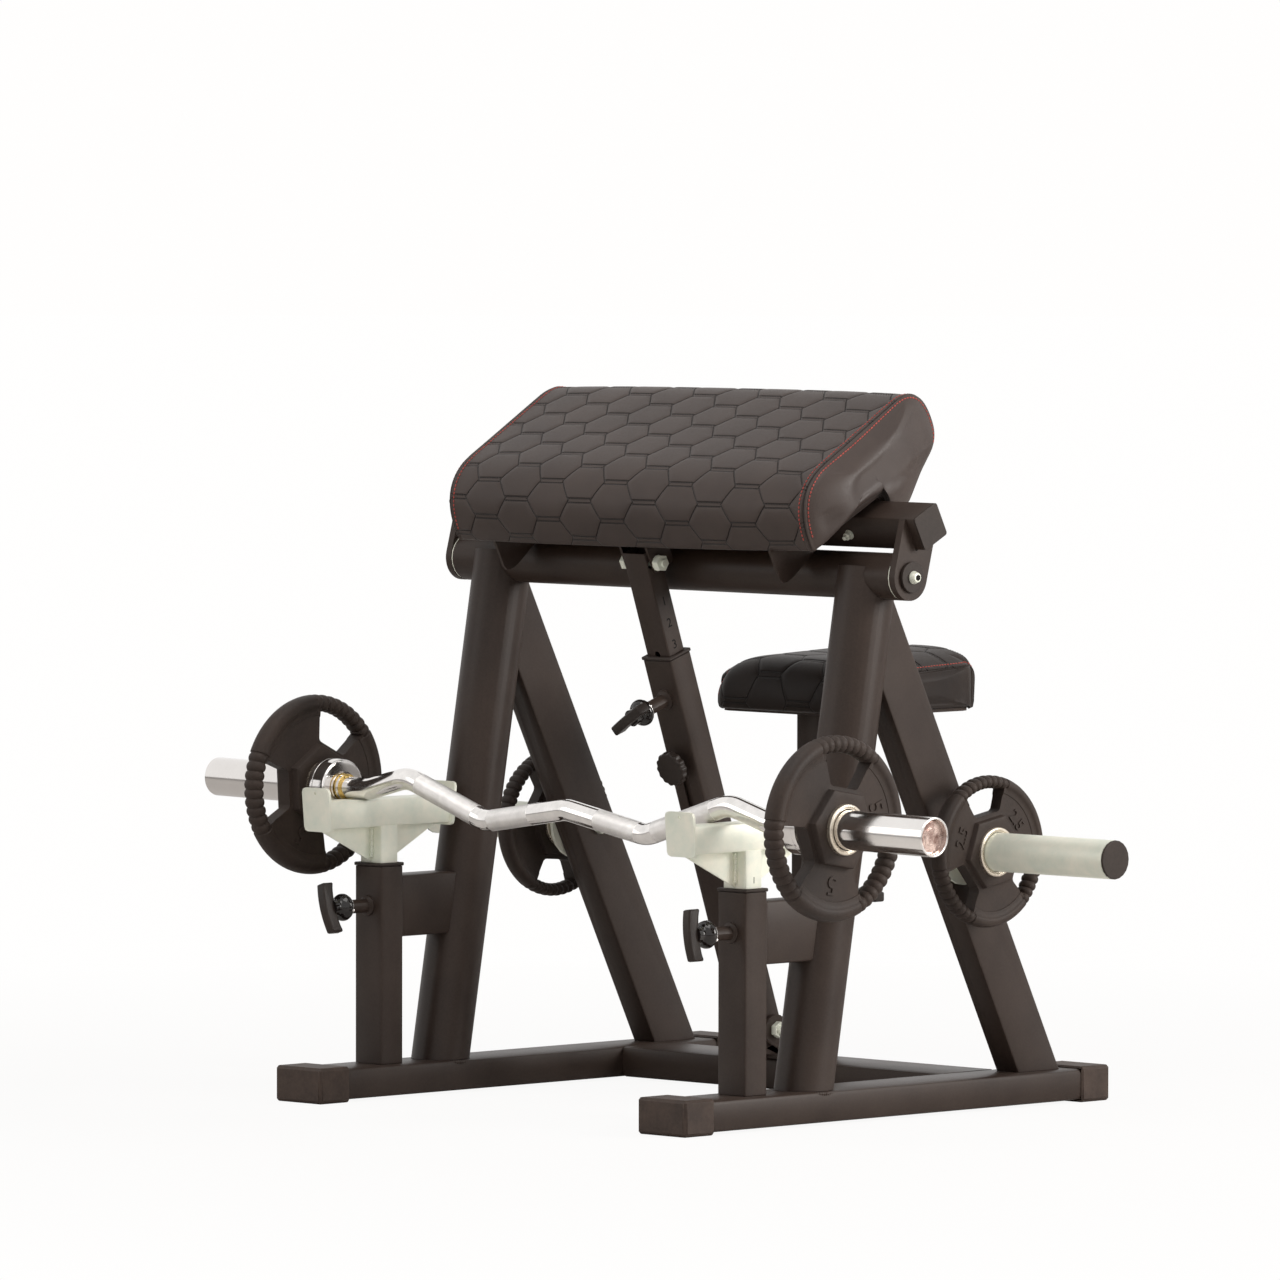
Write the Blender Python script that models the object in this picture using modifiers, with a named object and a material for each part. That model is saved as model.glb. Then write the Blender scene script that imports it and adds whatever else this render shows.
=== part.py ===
"""Preacher curl bench with a curl bar and four weight discs, as an assembly of jointed sub-parts.

Run with: blender --background --python part.py
Metres, +Z up. The user sits at +Y and the bar lies at -Y. The bench frame has its origin on the
floor, in the middle plane of the bench and halfway along its rails. The empty called bench moves
that frame so that the world origin is under the middle of the whole object.
"""
import math

import bmesh
import bpy
from mathutils import Matrix, Vector

# Clearances
GAP = 0.0003                # between pieces that touch
SLIDE_CLEARANCE = 0.0006    # round a tube that telescopes
BORE_CLEARANCE = 0.0008     # round a peg or a sleeve inside a disc's hub
KNUCKLE_CLEARANCE = 0.0028  # beside a swivelling knuckle or fork

# Base
BASE_LENGTH = 0.784
RAIL_X = 0.330
RAIL_WIDTH = 0.080
RAIL_HEIGHT = 0.040
FRAME_WALL = 0.0025
RAIL_CORNER = 0.006
BOOT_LENGTH = 0.055
BOOT_WALL = 0.003
BOOT_EDGE = 0.004
CROSS_Y = 0.2115
CROSS_DEPTH = 0.100

# Legs, crossbar and main pivot
PIVOT_Y = -0.021
PIVOT_Z = 0.692
LEG_FOOT_Y = -0.135
LEG_RADIUS = 0.038
PIPE_WALL = 0.003
LEG_HORN = 0.008            # how far the leg's saddle rises above the crossbar's axis
CROSSBAR_RADIUS = 0.030
CROSSBAR_END = 0.3945
REAR_FOOT_Y = 0.2813
REAR_LEAN = math.radians(26.8)
REAR_WIDTH = 0.040
REAR_DEPTH = 0.070
TUBE_CORNER = 0.0035
BUSH_FLANGE = 0.0017
BUSH_RADIUS = 0.0295
BUSH_DEPTH = 0.014
PIVOT_BOLT_RADIUS = 0.005
PIVOT_HEAD_RADIUS = 0.0085
PIVOT_HEAD_HEIGHT = 0.0085
PIVOT_DISC_RADIUS = 0.020
PIVOT_DISC_THICKNESS = 0.0045

# Upright posts and their braces
POST_INSET = 0.146            # rest posts, from the rails' front ends
POST_WIDTH = 0.050
POST_DEPTH = 0.040
POST_TOP = 0.300
INNER_WIDTH = 0.040
INNER_DEPTH = 0.030
INNER_WALL = 0.002
INNER_CORNER = 0.0026
INNER_BOTTOM = 0.080
HOLE_PITCH = 0.040
COLLAR_LIP = 0.001
COLLAR_HEIGHT = 0.005
COLLAR_LINER = 0.025
BRACE_WIDTH = 0.040
BRACE_HEIGHT = 0.080
BRACE_Z = 0.2475

# Storage pegs
PEG_Y = 0.136
PEG_Z = 0.336
PEG_RADIUS = 0.025
PEG_END = 0.614
PEG_CAP = 0.003
PEG_CAP_PLUG = 0.012
PEG_FLANGE_RADIUS = 0.045
PEG_FLANGE_THICKNESS = 0.0045
PEG_ROOT = 0.010            # thickness of the closed end that the bolt screws into
PEG_BOLT_RADIUS = 0.006
NUT_FLATS = 0.019
NUT_HEIGHT = 0.008
THREAD_SHOWN = 0.003
WASHER_RADIUS = 0.0105
WASHER_THICKNESS = 0.0015

# Strut under the arm pad
STRUT_Y = 0.121
STRUT_Z = 0.087
STRUT_TAIL = 0.020
STRUT_TUBE_TOP = 0.520
STRUT_INNER_START = 0.250
STRUT_INNER_TAIL = 0.017
STRUT_TRAVEL = 0.0601
STRUT_PIN_AT = 0.467
KNOB_AT = 0.3785
SLOT_WIDTH = 0.012
STRUT_HOLE_PITCH = 0.030
UPPER_SLOT_FRONT = 0.0128
UPPER_SLOT_BACK = 0.0053
LOWER_BOLT_RADIUS = 0.006
BRACKET_PLATE = 0.005
BRACKET_ROUND = 0.020
BRACKET_FOOT_FRONT = 0.165
BRACKET_FOOT_BACK = 0.210

# Star knob
KNOB_RADIUS = 0.0233
KNOB_LOBE = 0.0013
KNOB_LOBES = 14
KNOB_THICKNESS = 0.015
KNOB_STAND_OFF = 0.0095
KNOB_NECK_RADIUS = 0.011
STEM_RADIUS = 0.0045
STEM_BITE = 0.0035

# Spring pull pins
PIN_RADIUS = 0.0045
PIN_BARREL_RADIUS = 0.009
PIN_BARREL_LENGTH = 0.040
PIN_RING_RADIUS = 0.0135
PIN_RING_HEIGHT = 0.005
PIN_HUB_RADIUS = 0.018
PIN_HUB_HEIGHT = 0.005
PIN_NECK_RADIUS = 0.010
PIN_NECK_LENGTH = 0.013
T_LENGTH = 0.070
T_THICKNESS = 0.013
T_DEPTH = 0.023
T_BOW = 0.005
POST_PIN_Z = 0.249
LEFT_T_TURN = math.radians(-17.7)
RIGHT_T_TURN = math.radians(-7.3)
STRUT_T_TURN = math.radians(60.0)
SEAT_T_TURN = math.radians(90.0)

# Pad carriage, in its own frame: u runs up the pad, n stands out of it
PAD_TILT = math.radians(27.0)
CARRIAGE_SIZE = 0.046
CARRIAGE_U = 0.0475
CARRIAGE_N = 0.048
CARRIAGE_END = 0.420
CARRIAGE_CAP = 0.002
CARRIAGE_CAP_PLUG = 0.012
PIVOT_PLATE = 0.010
LOBE_RADIUS = 0.030
ARM_X = 0.250
ARM_PLATE = 0.004
ARM_FRONT = -0.0717
ARM_DROP = 0.0215
CLEVIS_U = -0.0596
CLEVIS_N = 0.0394
CLEVIS_PLATE = 0.004
CLEVIS_FRONT = 0.009
CLEVIS_BACK = 0.028
CLEVIS_BELOW = 0.012
CLEVIS_BOLT_RADIUS = 0.005
BOARD_THICKNESS = 0.0119
BOARD_HALF_WIDTH = 0.295
BOARD_FRONT = -0.060
BOARD_BACK = 0.072

# Arm pad
PAD_FRONT = -0.078
PAD_BACK = 0.205
PAD_FRONT_HEIGHT = 0.154
PAD_BACK_HEIGHT = 0.163
PAD_HALF_WIDTH = 0.312
PAD_SIDE_BULGE = 0.015
PAD_CROWN = 0.0045
PAD_LIP = 0.036             # n of the lip that hangs behind the carriage tube
PAD_LIP_BACK = 0.118

# Seat
SEAT_Y = 0.283
SEAT_LENGTH = 0.265
SEAT_WIDTH = 0.265
SEAT_Z = 0.500
SEAT_FRONT_HEIGHT = 0.068
SEAT_BACK_HEIGHT = 0.071
SEAT_CROWN = 0.004
SEAT_SIDE_BULGE = 0.008
SEAT_CORNER = 0.040
SEAT_PLATE_SIZE = 0.233
SEAT_PLATE_THICKNESS = 0.005
SEAT_POST_Y = 0.226
SEAT_SLEEVE_TOP = 0.340
SEAT_POST_BOTTOM = 0.100
SEAT_PIN_Z = 0.250

# Quilting of both pads
HEX_SIDE = 0.0387
CHANNEL_DEPTH = 0.0035
CHANNEL_WIDTH = 0.005
PLAIN_SPACING = 0.080       # longest step of the mesh round the plain parts of a section

# Bar rests
REST_WIDTH = 0.040
REST_HEIGHT = 0.036
REST_BOTTOM = 0.352
REST_FRONT = -0.352
REST_BACK = -0.138
LIP_WIDTH = 0.050
LIP_HEIGHT = 0.057
LIP_BOTTOM = 0.349
LIP_THICKNESS = 0.004
LIP_FLARE = math.radians(5.0)
LIP_CORNER = 0.006
LIP_HOLE_RADIUS = 0.002
LIP_HOLE_DROP = 0.007
VENT_RADIUS = 0.005         # hole in the cradle's underside, inside the post
GUSSET_THICKNESS = 0.003
GUSSET_BOTTOM = 0.306
GUSSET_TIP = 0.003
GUSSET_FRONT_INSET = 0.002
GUSSET_BACK_INSET = 0.012

# Curl bar
BAR_X = 0.055
BAR_Y = -0.286
BAR_RADIUS = 0.014
BAR_BEND = 0.055
BAR_SHOULDER_X = 0.362
BAR_PEAK_X = 0.290
BAR_PEAK_RISE = 0.0194
BAR_VALLEY_X = 0.145
BAR_VALLEY_DROP = 0.0285
BAR_MIDDLE_DROP = 0.0045
BAR_INSIDE_SLEEVE = 0.600
RING_RADIUS = 0.017
RING_START = 0.4065
RING_WIDTH = 0.0035
SLEEVE_START = 0.4103
SLEEVE_FLANGE = 0.030
SLEEVE_FLANGE_RADIUS = 0.036
SLEEVE_RADIUS = 0.025
SLEEVE_END = 0.647
SLEEVE_RECESS = 0.006
SLEEVE_LIP = 0.003

# Weight discs: outer radius, half thickness of rim, of web, of boss and of hub, and the window
WEIGHT_5 = {
    "radius": 0.117, "rim": 0.0138, "web": 0.0095, "boss": 0.0200, "hub": 0.0265, "hub_radius": 0.0325,
    "boss_flats": 0.092, "rim_width": 0.022, "window_inner": 0.052,
}
WEIGHT_2_5 = {
    "radius": 0.0976, "rim": 0.0125, "web": 0.0085, "boss": 0.0160, "hub": 0.0205, "hub_radius": 0.032,
    "boss_flats": 0.084, "rim_width": 0.017, "window_inner": 0.0485,
}
WINDOW_SPREAD = math.radians(25.0)
DISC_5_TURN = (math.radians(26.0), math.radians(-10.0))
DISC_2_5_TURN = (math.radians(64.0), math.radians(10.0))
DISC_5_STAND_OFF = (0.0, 0.005)     # from each sleeve's flange; one disc was not pushed home
DISC_2_5_START = 0.3728

# Roundness of the meshes
LEG_ROUND = 28
DISC_ROUND = 24
ROUND = 20
SMALL_ROUND = 12
HOLE_ROUND = 8
CORNER_STEPS = 2

# Sizes that follow from the ones above
POST_Y = POST_INSET - BASE_LENGTH / 2
CLEVIS_PIN_Y = PIVOT_Y + CLEVIS_U * math.cos(PAD_TILT) - CLEVIS_N * math.sin(PAD_TILT)
CLEVIS_PIN_Z = PIVOT_Z + CLEVIS_U * math.sin(PAD_TILT) + CLEVIS_N * math.cos(PAD_TILT)
STRUT_LENGTH = math.hypot(CLEVIS_PIN_Y - STRUT_Y, CLEVIS_PIN_Z - STRUT_Z)
STRUT_LEAN = math.atan2(STRUT_Y - CLEVIS_PIN_Y, CLEVIS_PIN_Z - STRUT_Z)
RAIL_BOTTOM = BOOT_WALL + GAP
RAIL_TOP = RAIL_BOTTOM + RAIL_HEIGHT
LEG_LEAN = math.atan2(PIVOT_Y - LEG_FOOT_Y, PIVOT_Z - RAIL_TOP)
LEG_LENGTH = math.hypot(PIVOT_Y - LEG_FOOT_Y, PIVOT_Z - RAIL_TOP)
BUSH_FACE = CROSSBAR_END + GAP + BUSH_FLANGE
PIVOT_PLATE_X = BUSH_FACE + GAP
PIVOT_DISC_X = PIVOT_PLATE_X + PIVOT_PLATE + GAP
PIVOT_HEAD_X = PIVOT_DISC_X + PIVOT_DISC_THICKNESS + GAP
REAR_OUTER_X = RAIL_X + REAR_WIDTH / 2
REAR_INNER_X = RAIL_X - REAR_WIDTH / 2
POST_FRONT = POST_Y - POST_DEPTH / 2
POST_BACK = POST_Y + POST_DEPTH / 2
PIN_TIP = FRAME_WALL + (POST_DEPTH / 2 - FRAME_WALL - INNER_DEPTH / 2) - GAP
CARRIAGE_TOP = CARRIAGE_N + CARRIAGE_SIZE / 2
CARRIAGE_LOW = CARRIAGE_N - CARRIAGE_SIZE / 2
CARRIAGE_FRONT = CARRIAGE_U - CARRIAGE_SIZE / 2
CARRIAGE_BACK = CARRIAGE_U + CARRIAGE_SIZE / 2
PAD_BOTTOM = CARRIAGE_TOP + GAP
REST_TOP = REST_BOTTOM + REST_HEIGHT
SEAT_PLATE_Z = SEAT_Z - GAP - SEAT_PLATE_THICKNESS
BRACKET_X = POST_WIDTH / 2 + KNUCKLE_CLEARANCE
CLEVIS_X = INNER_WIDTH / 2 + GAP + 0.001

ALONG_X = (math.pi / 2, 0.0, math.pi / 2)    # outline in Y and Z, thickness along X
ALONG_Y = (math.pi / 2, 0.0, 0.0)            # outline in X and Z, local z towards -Y
ALONG_BACK = (-math.pi / 2, 0.0, 0.0)        # local z towards +Y

BLACK_STEEL = ((0.018, 0.016, 0.015), 0.55, 0.0)
BLACK_RUBBER = ((0.012, 0.011, 0.011), 0.75, 0.0)
BLACK_PLASTIC = ((0.012, 0.012, 0.012), 0.45, 0.0)
BLACK_LEATHER = ((0.015, 0.013, 0.013), 0.50, 0.0)
BRIGHT_ZINC = ((0.62, 0.63, 0.56), 0.38, 1.0)
CHROME = ((0.80, 0.80, 0.80), 0.10, 1.0)
PLYWOOD = ((0.30, 0.20, 0.12), 0.80, 0.0)


# Scene helpers

def start_scene():
    """Empty the scene and make the two collections: the parts and the cutters."""
    for obj in list(bpy.data.objects):
        bpy.data.objects.remove(obj, do_unlink=True)
    for name in ("preacher_curl_bench", "cutters"):
        collection = bpy.data.collections.new(name)
        bpy.context.scene.collection.children.link(collection)


def add(name, data, parent, location=(0.0, 0.0, 0.0), rotation=(0.0, 0.0, 0.0)):
    """Link an object holding data to the parts, under its parent."""
    obj = bpy.data.objects.new(name, data)
    bpy.data.collections["preacher_curl_bench"].objects.link(obj)
    obj.parent = parent
    obj.location = location
    obj.rotation_euler = rotation
    return obj


def empty(name, parent, location, rotation=(0.0, 0.0, 0.0)):
    """An empty that carries a moving or tilted group of pieces."""
    return add(name, None, parent, location, rotation)


def curve_to_mesh(obj):
    """Swap a curve object for a mesh object in the same place, with its loose caps welded."""
    bpy.context.view_layer.update()
    graph = bpy.context.evaluated_depsgraph_get()
    mesh = bpy.data.meshes.new_from_object(obj.evaluated_get(graph))
    bm = bmesh.new()
    bm.from_mesh(mesh)
    bmesh.ops.remove_doubles(bm, verts=bm.verts, dist=1e-6)
    bmesh.ops.recalc_face_normals(bm, faces=bm.faces)
    bm.to_mesh(mesh)
    bm.free()
    name, parent = obj.name, obj.parent
    location, rotation = obj.location.copy(), obj.rotation_euler.copy()
    bpy.data.objects.remove(obj, do_unlink=True)
    mesh.name = name
    return add(name, mesh, parent, location, rotation)


def boolean(obj, tool, operation="DIFFERENCE"):
    """Cut obj with tool, or join tool to it, by a modifier that stays on the object."""
    modifier = obj.modifiers.new(operation.title(), "BOOLEAN")
    modifier.operation = operation
    modifier.solver = "EXACT"
    modifier.object = tool
    tool.hide_render = True
    tool.display_type = "WIRE"
    for collection in list(tool.users_collection):
        collection.objects.unlink(tool)
    bpy.data.collections["cutters"].objects.link(tool)
    return obj


def bevelled(obj, width, segments=2):
    """Round the object's edges."""
    modifier = obj.modifiers.new("Bevel", "BEVEL")
    modifier.width = width
    modifier.segments = segments
    modifier.limit_method = "ANGLE"
    modifier.angle_limit = math.radians(40)
    return obj


def painted(obj, look):
    """Give a sub-part its own material and shade its round faces smooth."""
    colour, roughness, metallic = look
    material = bpy.data.materials.new(obj.name + "_material")
    material.use_nodes = True
    shader = material.node_tree.nodes["Principled BSDF"]
    shader.inputs["Base Color"].default_value = (*colour, 1.0)
    shader.inputs["Roughness"].default_value = roughness
    shader.inputs["Metallic"].default_value = metallic
    material.diffuse_color = (*colour, 1.0)
    obj.data.materials.clear()
    obj.data.materials.append(material)
    obj.data.shade_smooth()
    obj.data.set_sharp_from_angle(angle=math.radians(35))
    return obj


def united(obj, *others):
    """Weld overlapping pieces to obj, so that they are one body."""
    for other in others:
        boolean(obj, other, "UNION")
    return obj


# Shape helpers

def box(name, size, parent, location=(0.0, 0.0, 0.0), rotation=(0.0, 0.0, 0.0)):
    """A cuboid centred on its origin."""
    bm = bmesh.new()
    bmesh.ops.create_cube(bm, size=1.0)
    bmesh.ops.scale(bm, vec=size, verts=bm.verts)
    mesh = bpy.data.meshes.new(name)
    bm.to_mesh(mesh)
    bm.free()
    return add(name, mesh, parent, location, rotation)


def rod(name, radius, start, end, parent, location=(0.0, 0.0, 0.0), rotation=(0.0, 0.0, 0.0),
        sides=SMALL_ROUND):
    """A solid cylinder or prism along local z, from start to end."""
    bm = bmesh.new()
    bmesh.ops.create_cone(
        bm, cap_ends=True, segments=sides, radius1=radius, radius2=radius, depth=end - start,
        matrix=Matrix.Translation((0.0, 0.0, (start + end) / 2)))
    mesh = bpy.data.meshes.new(name)
    bm.to_mesh(mesh)
    bm.free()
    return add(name, mesh, parent, location, rotation)


def circle(radius, sides, centre=(0.0, 0.0)):
    """Points round a circle."""
    turns = [2 * math.pi * i / sides for i in range(sides)]
    return [(centre[0] + radius * math.cos(t), centre[1] + radius * math.sin(t)) for t in turns]


def arc(radius, start, end, steps, centre=(0.0, 0.0)):
    """Points along an arc, both ends included."""
    turns = [start + (end - start) * i / steps for i in range(steps + 1)]
    return [(centre[0] + radius * math.cos(t), centre[1] + radius * math.sin(t)) for t in turns]


def fillet(before, corner, after, radius, steps):
    """Points of the arc that rounds one corner."""
    corner = Vector(corner)
    to_before = (Vector(before) - corner)
    to_after = (Vector(after) - corner)
    half = to_before.angle(to_after) / 2
    reach = radius / math.tan(half)
    reach = min(reach, 0.49 * to_before.length, 0.49 * to_after.length)
    first = corner + to_before.normalized() * reach
    last = corner + to_after.normalized() * reach
    bisector = (to_before.normalized() + to_after.normalized()).normalized()
    middle = corner + bisector * (reach / math.cos(half))
    sweep = math.pi - 2 * half
    axis = (first - middle)
    turn = math.copysign(1.0, axis.x * (last - middle).y - axis.y * (last - middle).x)
    points = []
    for i in range(steps + 1):
        angle = turn * sweep * i / steps
        cosine, sine = math.cos(angle), math.sin(angle)
        x = middle.x + axis.x * cosine - axis.y * sine
        y = middle.y + axis.x * sine + axis.y * cosine
        points.append((x, y))
    return points


def rounded(corners, steps=CORNER_STEPS, closed=True):
    """An outline from (x, y, radius) corners, with an arc at each corner that has a radius."""
    count = len(corners)
    points = []
    for i, (x, y, radius) in enumerate(corners):
        at_end = not closed and i in (0, count - 1)
        if at_end or radius == 0.0:
            points.append((x, y))
            continue
        before, after = corners[i - 1], corners[(i + 1) % count]
        points.extend(fillet(before[:2], (x, y), after[:2], radius, steps))
    return points


def rectangle(width, depth, corner=0.0):
    """A centred rectangle with rounded corners."""
    x, y = width / 2, depth / 2
    return rounded([(x, y, corner), (-x, y, corner), (-x, -y, corner), (x, -y, corner)])


def slab(name, loops, start, end, parent, location=(0.0, 0.0, 0.0), rotation=(0.0, 0.0, 0.0)):
    """A flat outline, with any holes, extruded along local z from start to end."""
    curve = bpy.data.curves.new(name, "CURVE")
    curve.dimensions = "2D"
    curve.fill_mode = "BOTH"
    curve.extrude = (end - start) / 2
    for loop in loops:
        spline = curve.splines.new("POLY")
        spline.points.add(len(loop) - 1)
        for point, (x, y) in zip(spline.points, loop):
            point.co = (x, y, 0.0, 1.0)
        spline.use_cyclic_u = True
    obj = curve_to_mesh(add(name, curve, parent, location, rotation))
    obj.data.transform(Matrix.Translation((0.0, 0.0, (start + end) / 2)))
    return obj


def box_tube(name, width, depth, wall, corner, start, end, parent, location=(0.0, 0.0, 0.0),
             rotation=(0.0, 0.0, 0.0)):
    """A rectangular tube along local z."""
    outer = rectangle(width, depth, corner)
    inner = rectangle(width - 2 * wall, depth - 2 * wall)
    return slab(name, [outer, inner], start, end, parent, location, rotation)


def pipe(name, radius, bore, start, end, parent, location=(0.0, 0.0, 0.0), rotation=(0.0, 0.0, 0.0),
         sides=ROUND):
    """A round tube or ring along local z."""
    return slab(name, [circle(radius, sides), circle(bore, sides)], start, end, parent, location, rotation)


def turned(name, profile, parent, location=(0.0, 0.0, 0.0), rotation=(0.0, 0.0, 0.0), steps=ROUND):
    """A profile of (radius, z) points, listed down its outer side, turned about local z."""
    mesh = bpy.data.meshes.new(name)
    edges = [(i, i + 1) for i in range(len(profile) - 1)]
    mesh.from_pydata([(radius, 0.0, z) for radius, z in profile], edges, [])
    obj = add(name, mesh, parent, location, rotation)
    screw = obj.modifiers.new("Screw", "SCREW")
    screw.axis = "Z"
    screw.steps = steps
    screw.render_steps = steps
    screw.use_merge_vertices = True
    screw.merge_threshold = 0.00001
    return obj


# Base rails, boots and cross rail

def make_base(bench):
    rail_length = BASE_LENGTH - 2 * (BOOT_WALL + GAP)
    rail_z = (RAIL_BOTTOM + RAIL_TOP) / 2
    boot_width = RAIL_WIDTH + 2 * (GAP + BOOT_WALL)
    boot_height = RAIL_HEIGHT + 2 * (GAP + BOOT_WALL)
    for side, hand in ((-1, "left"), (1, "right")):
        rail = box_tube("rail_" + hand, RAIL_WIDTH, RAIL_HEIGHT, FRAME_WALL, RAIL_CORNER,
                        -rail_length / 2, rail_length / 2, bench, (side * RAIL_X, 0.0, rail_z), ALONG_Y)
        painted(rail, BLACK_STEEL)
        for end, place in ((-1, "front"), (1, "rear")):
            centre_y = end * (BASE_LENGTH - BOOT_LENGTH) / 2
            boot = box("boot_" + place + "_" + hand, (boot_width, BOOT_LENGTH, boot_height), bench,
                       (side * RAIL_X, centre_y, boot_height / 2))
            bevelled(boot, BOOT_EDGE, 1)
            pocket = box("boot_pocket", (RAIL_WIDTH + 2 * GAP, BOOT_LENGTH, RAIL_HEIGHT + 2 * GAP), bench,
                         (side * RAIL_X, centre_y - end * BOOT_WALL, boot_height / 2))
            painted(boolean(boot, pocket), BLACK_RUBBER)
    cross_half = RAIL_X - RAIL_WIDTH / 2 - GAP
    cross = box_tube("cross_rail", CROSS_DEPTH, RAIL_HEIGHT, FRAME_WALL, RAIL_CORNER,
                     -cross_half, cross_half, bench, (0.0, CROSS_Y, rail_z), ALONG_X)
    painted(cross, BLACK_STEEL)


# Round front legs, square rear legs and the crossbar on top of them

def below_rail_top(bench):
    """A cutter that takes away what would reach into the rails."""
    depth = 0.2
    return box("under_rail", (1.0, 1.0, depth), bench, (0.0, 0.0, RAIL_TOP + GAP - depth / 2))


def crossbar_cutter(bench):
    """A cutter for a saddle round the crossbar."""
    return rod("crossbar_cutter", CROSSBAR_RADIUS + GAP, -CROSSBAR_END, CROSSBAR_END, bench,
               (0.0, PIVOT_Y, PIVOT_Z), ALONG_X, LEG_ROUND)


def leg_cutter(bench, side):
    """A cutter that follows a round front leg."""
    return rod("leg_cutter", LEG_RADIUS + GAP, -0.1, LEG_LENGTH + 0.1, bench,
               (side * RAIL_X, LEG_FOOT_Y, RAIL_TOP), (-LEG_LEAN, 0.0, 0.0), LEG_ROUND)


def make_legs(bench):
    crossing = (REAR_FOOT_Y - LEG_FOOT_Y) / (math.tan(LEG_LEAN) + math.tan(REAR_LEAN))
    rear_length = crossing / math.cos(REAR_LEAN) + REAR_DEPTH
    for side, hand in ((-1, "left"), (1, "right")):
        leg = pipe("front_leg_" + hand, LEG_RADIUS, LEG_RADIUS - PIPE_WALL, -LEG_RADIUS,
                   LEG_LENGTH + LEG_HORN, bench, (side * RAIL_X, LEG_FOOT_Y, RAIL_TOP), (-LEG_LEAN, 0.0, 0.0),
                   LEG_ROUND)
        boolean(leg, below_rail_top(bench))
        painted(boolean(leg, crossbar_cutter(bench)), BLACK_STEEL)

        rear = box_tube("rear_leg_" + hand, REAR_WIDTH, REAR_DEPTH, FRAME_WALL, TUBE_CORNER, -REAR_DEPTH,
                        rear_length, bench, (side * RAIL_X, REAR_FOOT_Y, RAIL_TOP), (REAR_LEAN, 0.0, 0.0))
        boolean(rear, below_rail_top(bench))
        boolean(rear, leg_cutter(bench, side))
        size = (2 * REAR_DEPTH, LEG_LENGTH, 3 * LEG_LENGTH)
        place = (side * RAIL_X, LEG_FOOT_Y - LEG_LENGTH / 2 / math.cos(LEG_LEAN), RAIL_TOP)
        boolean(rear, box("before_leg", size, bench, place, (-LEG_LEAN, 0.0, 0.0)))
        size = (2 * REAR_DEPTH, 4 * REAR_DEPTH, 4 * REAR_DEPTH)
        boolean(rear, box("above_crossbar", size, bench, (side * RAIL_X, PIVOT_Y, PIVOT_Z + size[2] / 2)))
        boolean(rear, crossbar_cutter(bench))
        bolt_hole = rod("peg_bolt_hole", PEG_BOLT_RADIUS + GAP, -REAR_WIDTH, REAR_WIDTH, bench,
                        (side * RAIL_X, PEG_Y, PEG_Z), ALONG_X)
        painted(boolean(rear, bolt_hole), BLACK_STEEL)
    crossbar = pipe("crossbar", CROSSBAR_RADIUS, CROSSBAR_RADIUS - PIPE_WALL, -CROSSBAR_END, CROSSBAR_END,
                    bench, (0.0, PIVOT_Y, PIVOT_Z), ALONG_X, LEG_ROUND)
    painted(crossbar, BLACK_STEEL)


def make_pivot_hardware(bench):
    """Shouldered pins in the crossbar's ends, and the black discs outside the carriage's lobes."""
    body = CROSSBAR_RADIUS - PIPE_WALL - GAP
    centre = (0.0, PIVOT_Y, PIVOT_Z)
    tip = PIVOT_HEAD_X + PIVOT_HEAD_HEIGHT
    profile = [
        (0.0, tip), (0.7 * PIVOT_HEAD_RADIUS, tip - 0.001), (PIVOT_HEAD_RADIUS, PIVOT_HEAD_X + 0.001),
        (PIVOT_HEAD_RADIUS, PIVOT_HEAD_X),
        (PIVOT_BOLT_RADIUS, PIVOT_HEAD_X), (PIVOT_BOLT_RADIUS, BUSH_FACE), (BUSH_RADIUS, BUSH_FACE),
        (BUSH_RADIUS, BUSH_FACE - BUSH_FLANGE), (body, BUSH_FACE - BUSH_FLANGE),
        (body, BUSH_FACE - BUSH_DEPTH), (0.0, BUSH_FACE - BUSH_DEPTH),
    ]
    for side, hand in ((-1, "left"), (1, "right")):
        turn = (math.pi / 2, 0.0, side * math.pi / 2)
        painted(turned("pivot_pin_" + hand, profile, bench, centre, turn), BRIGHT_ZINC)
        disc = pipe("pivot_disc_" + hand, PIVOT_DISC_RADIUS, PIVOT_BOLT_RADIUS + GAP, PIVOT_DISC_X,
                    PIVOT_DISC_X + PIVOT_DISC_THICKNESS, bench, centre, turn)
        painted(disc, BLACK_PLASTIC)


# Posts with their collars and braces

def add_barrel(tube, parent, location, rotation):
    """Weld a pull pin's barrel and its base ring to a tube's face, and bore both with the wall."""
    profile = [
        (0.0, PIN_BARREL_LENGTH), (PIN_BARREL_RADIUS, PIN_BARREL_LENGTH),
        (PIN_BARREL_RADIUS, PIN_RING_HEIGHT), (PIN_RING_RADIUS, PIN_RING_HEIGHT * 0.6),
        (PIN_RING_RADIUS, -FRAME_WALL / 2), (0.0, -FRAME_WALL / 2),
    ]
    boolean(tube, turned("barrel", profile, parent, location, rotation, steps=SMALL_ROUND), "UNION")
    bore = rod("pin_bore", PIN_RADIUS + GAP, -2.5 * FRAME_WALL, 2 * PIN_BARREL_LENGTH, parent, location,
               rotation)
    return boolean(tube, bore)


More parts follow.
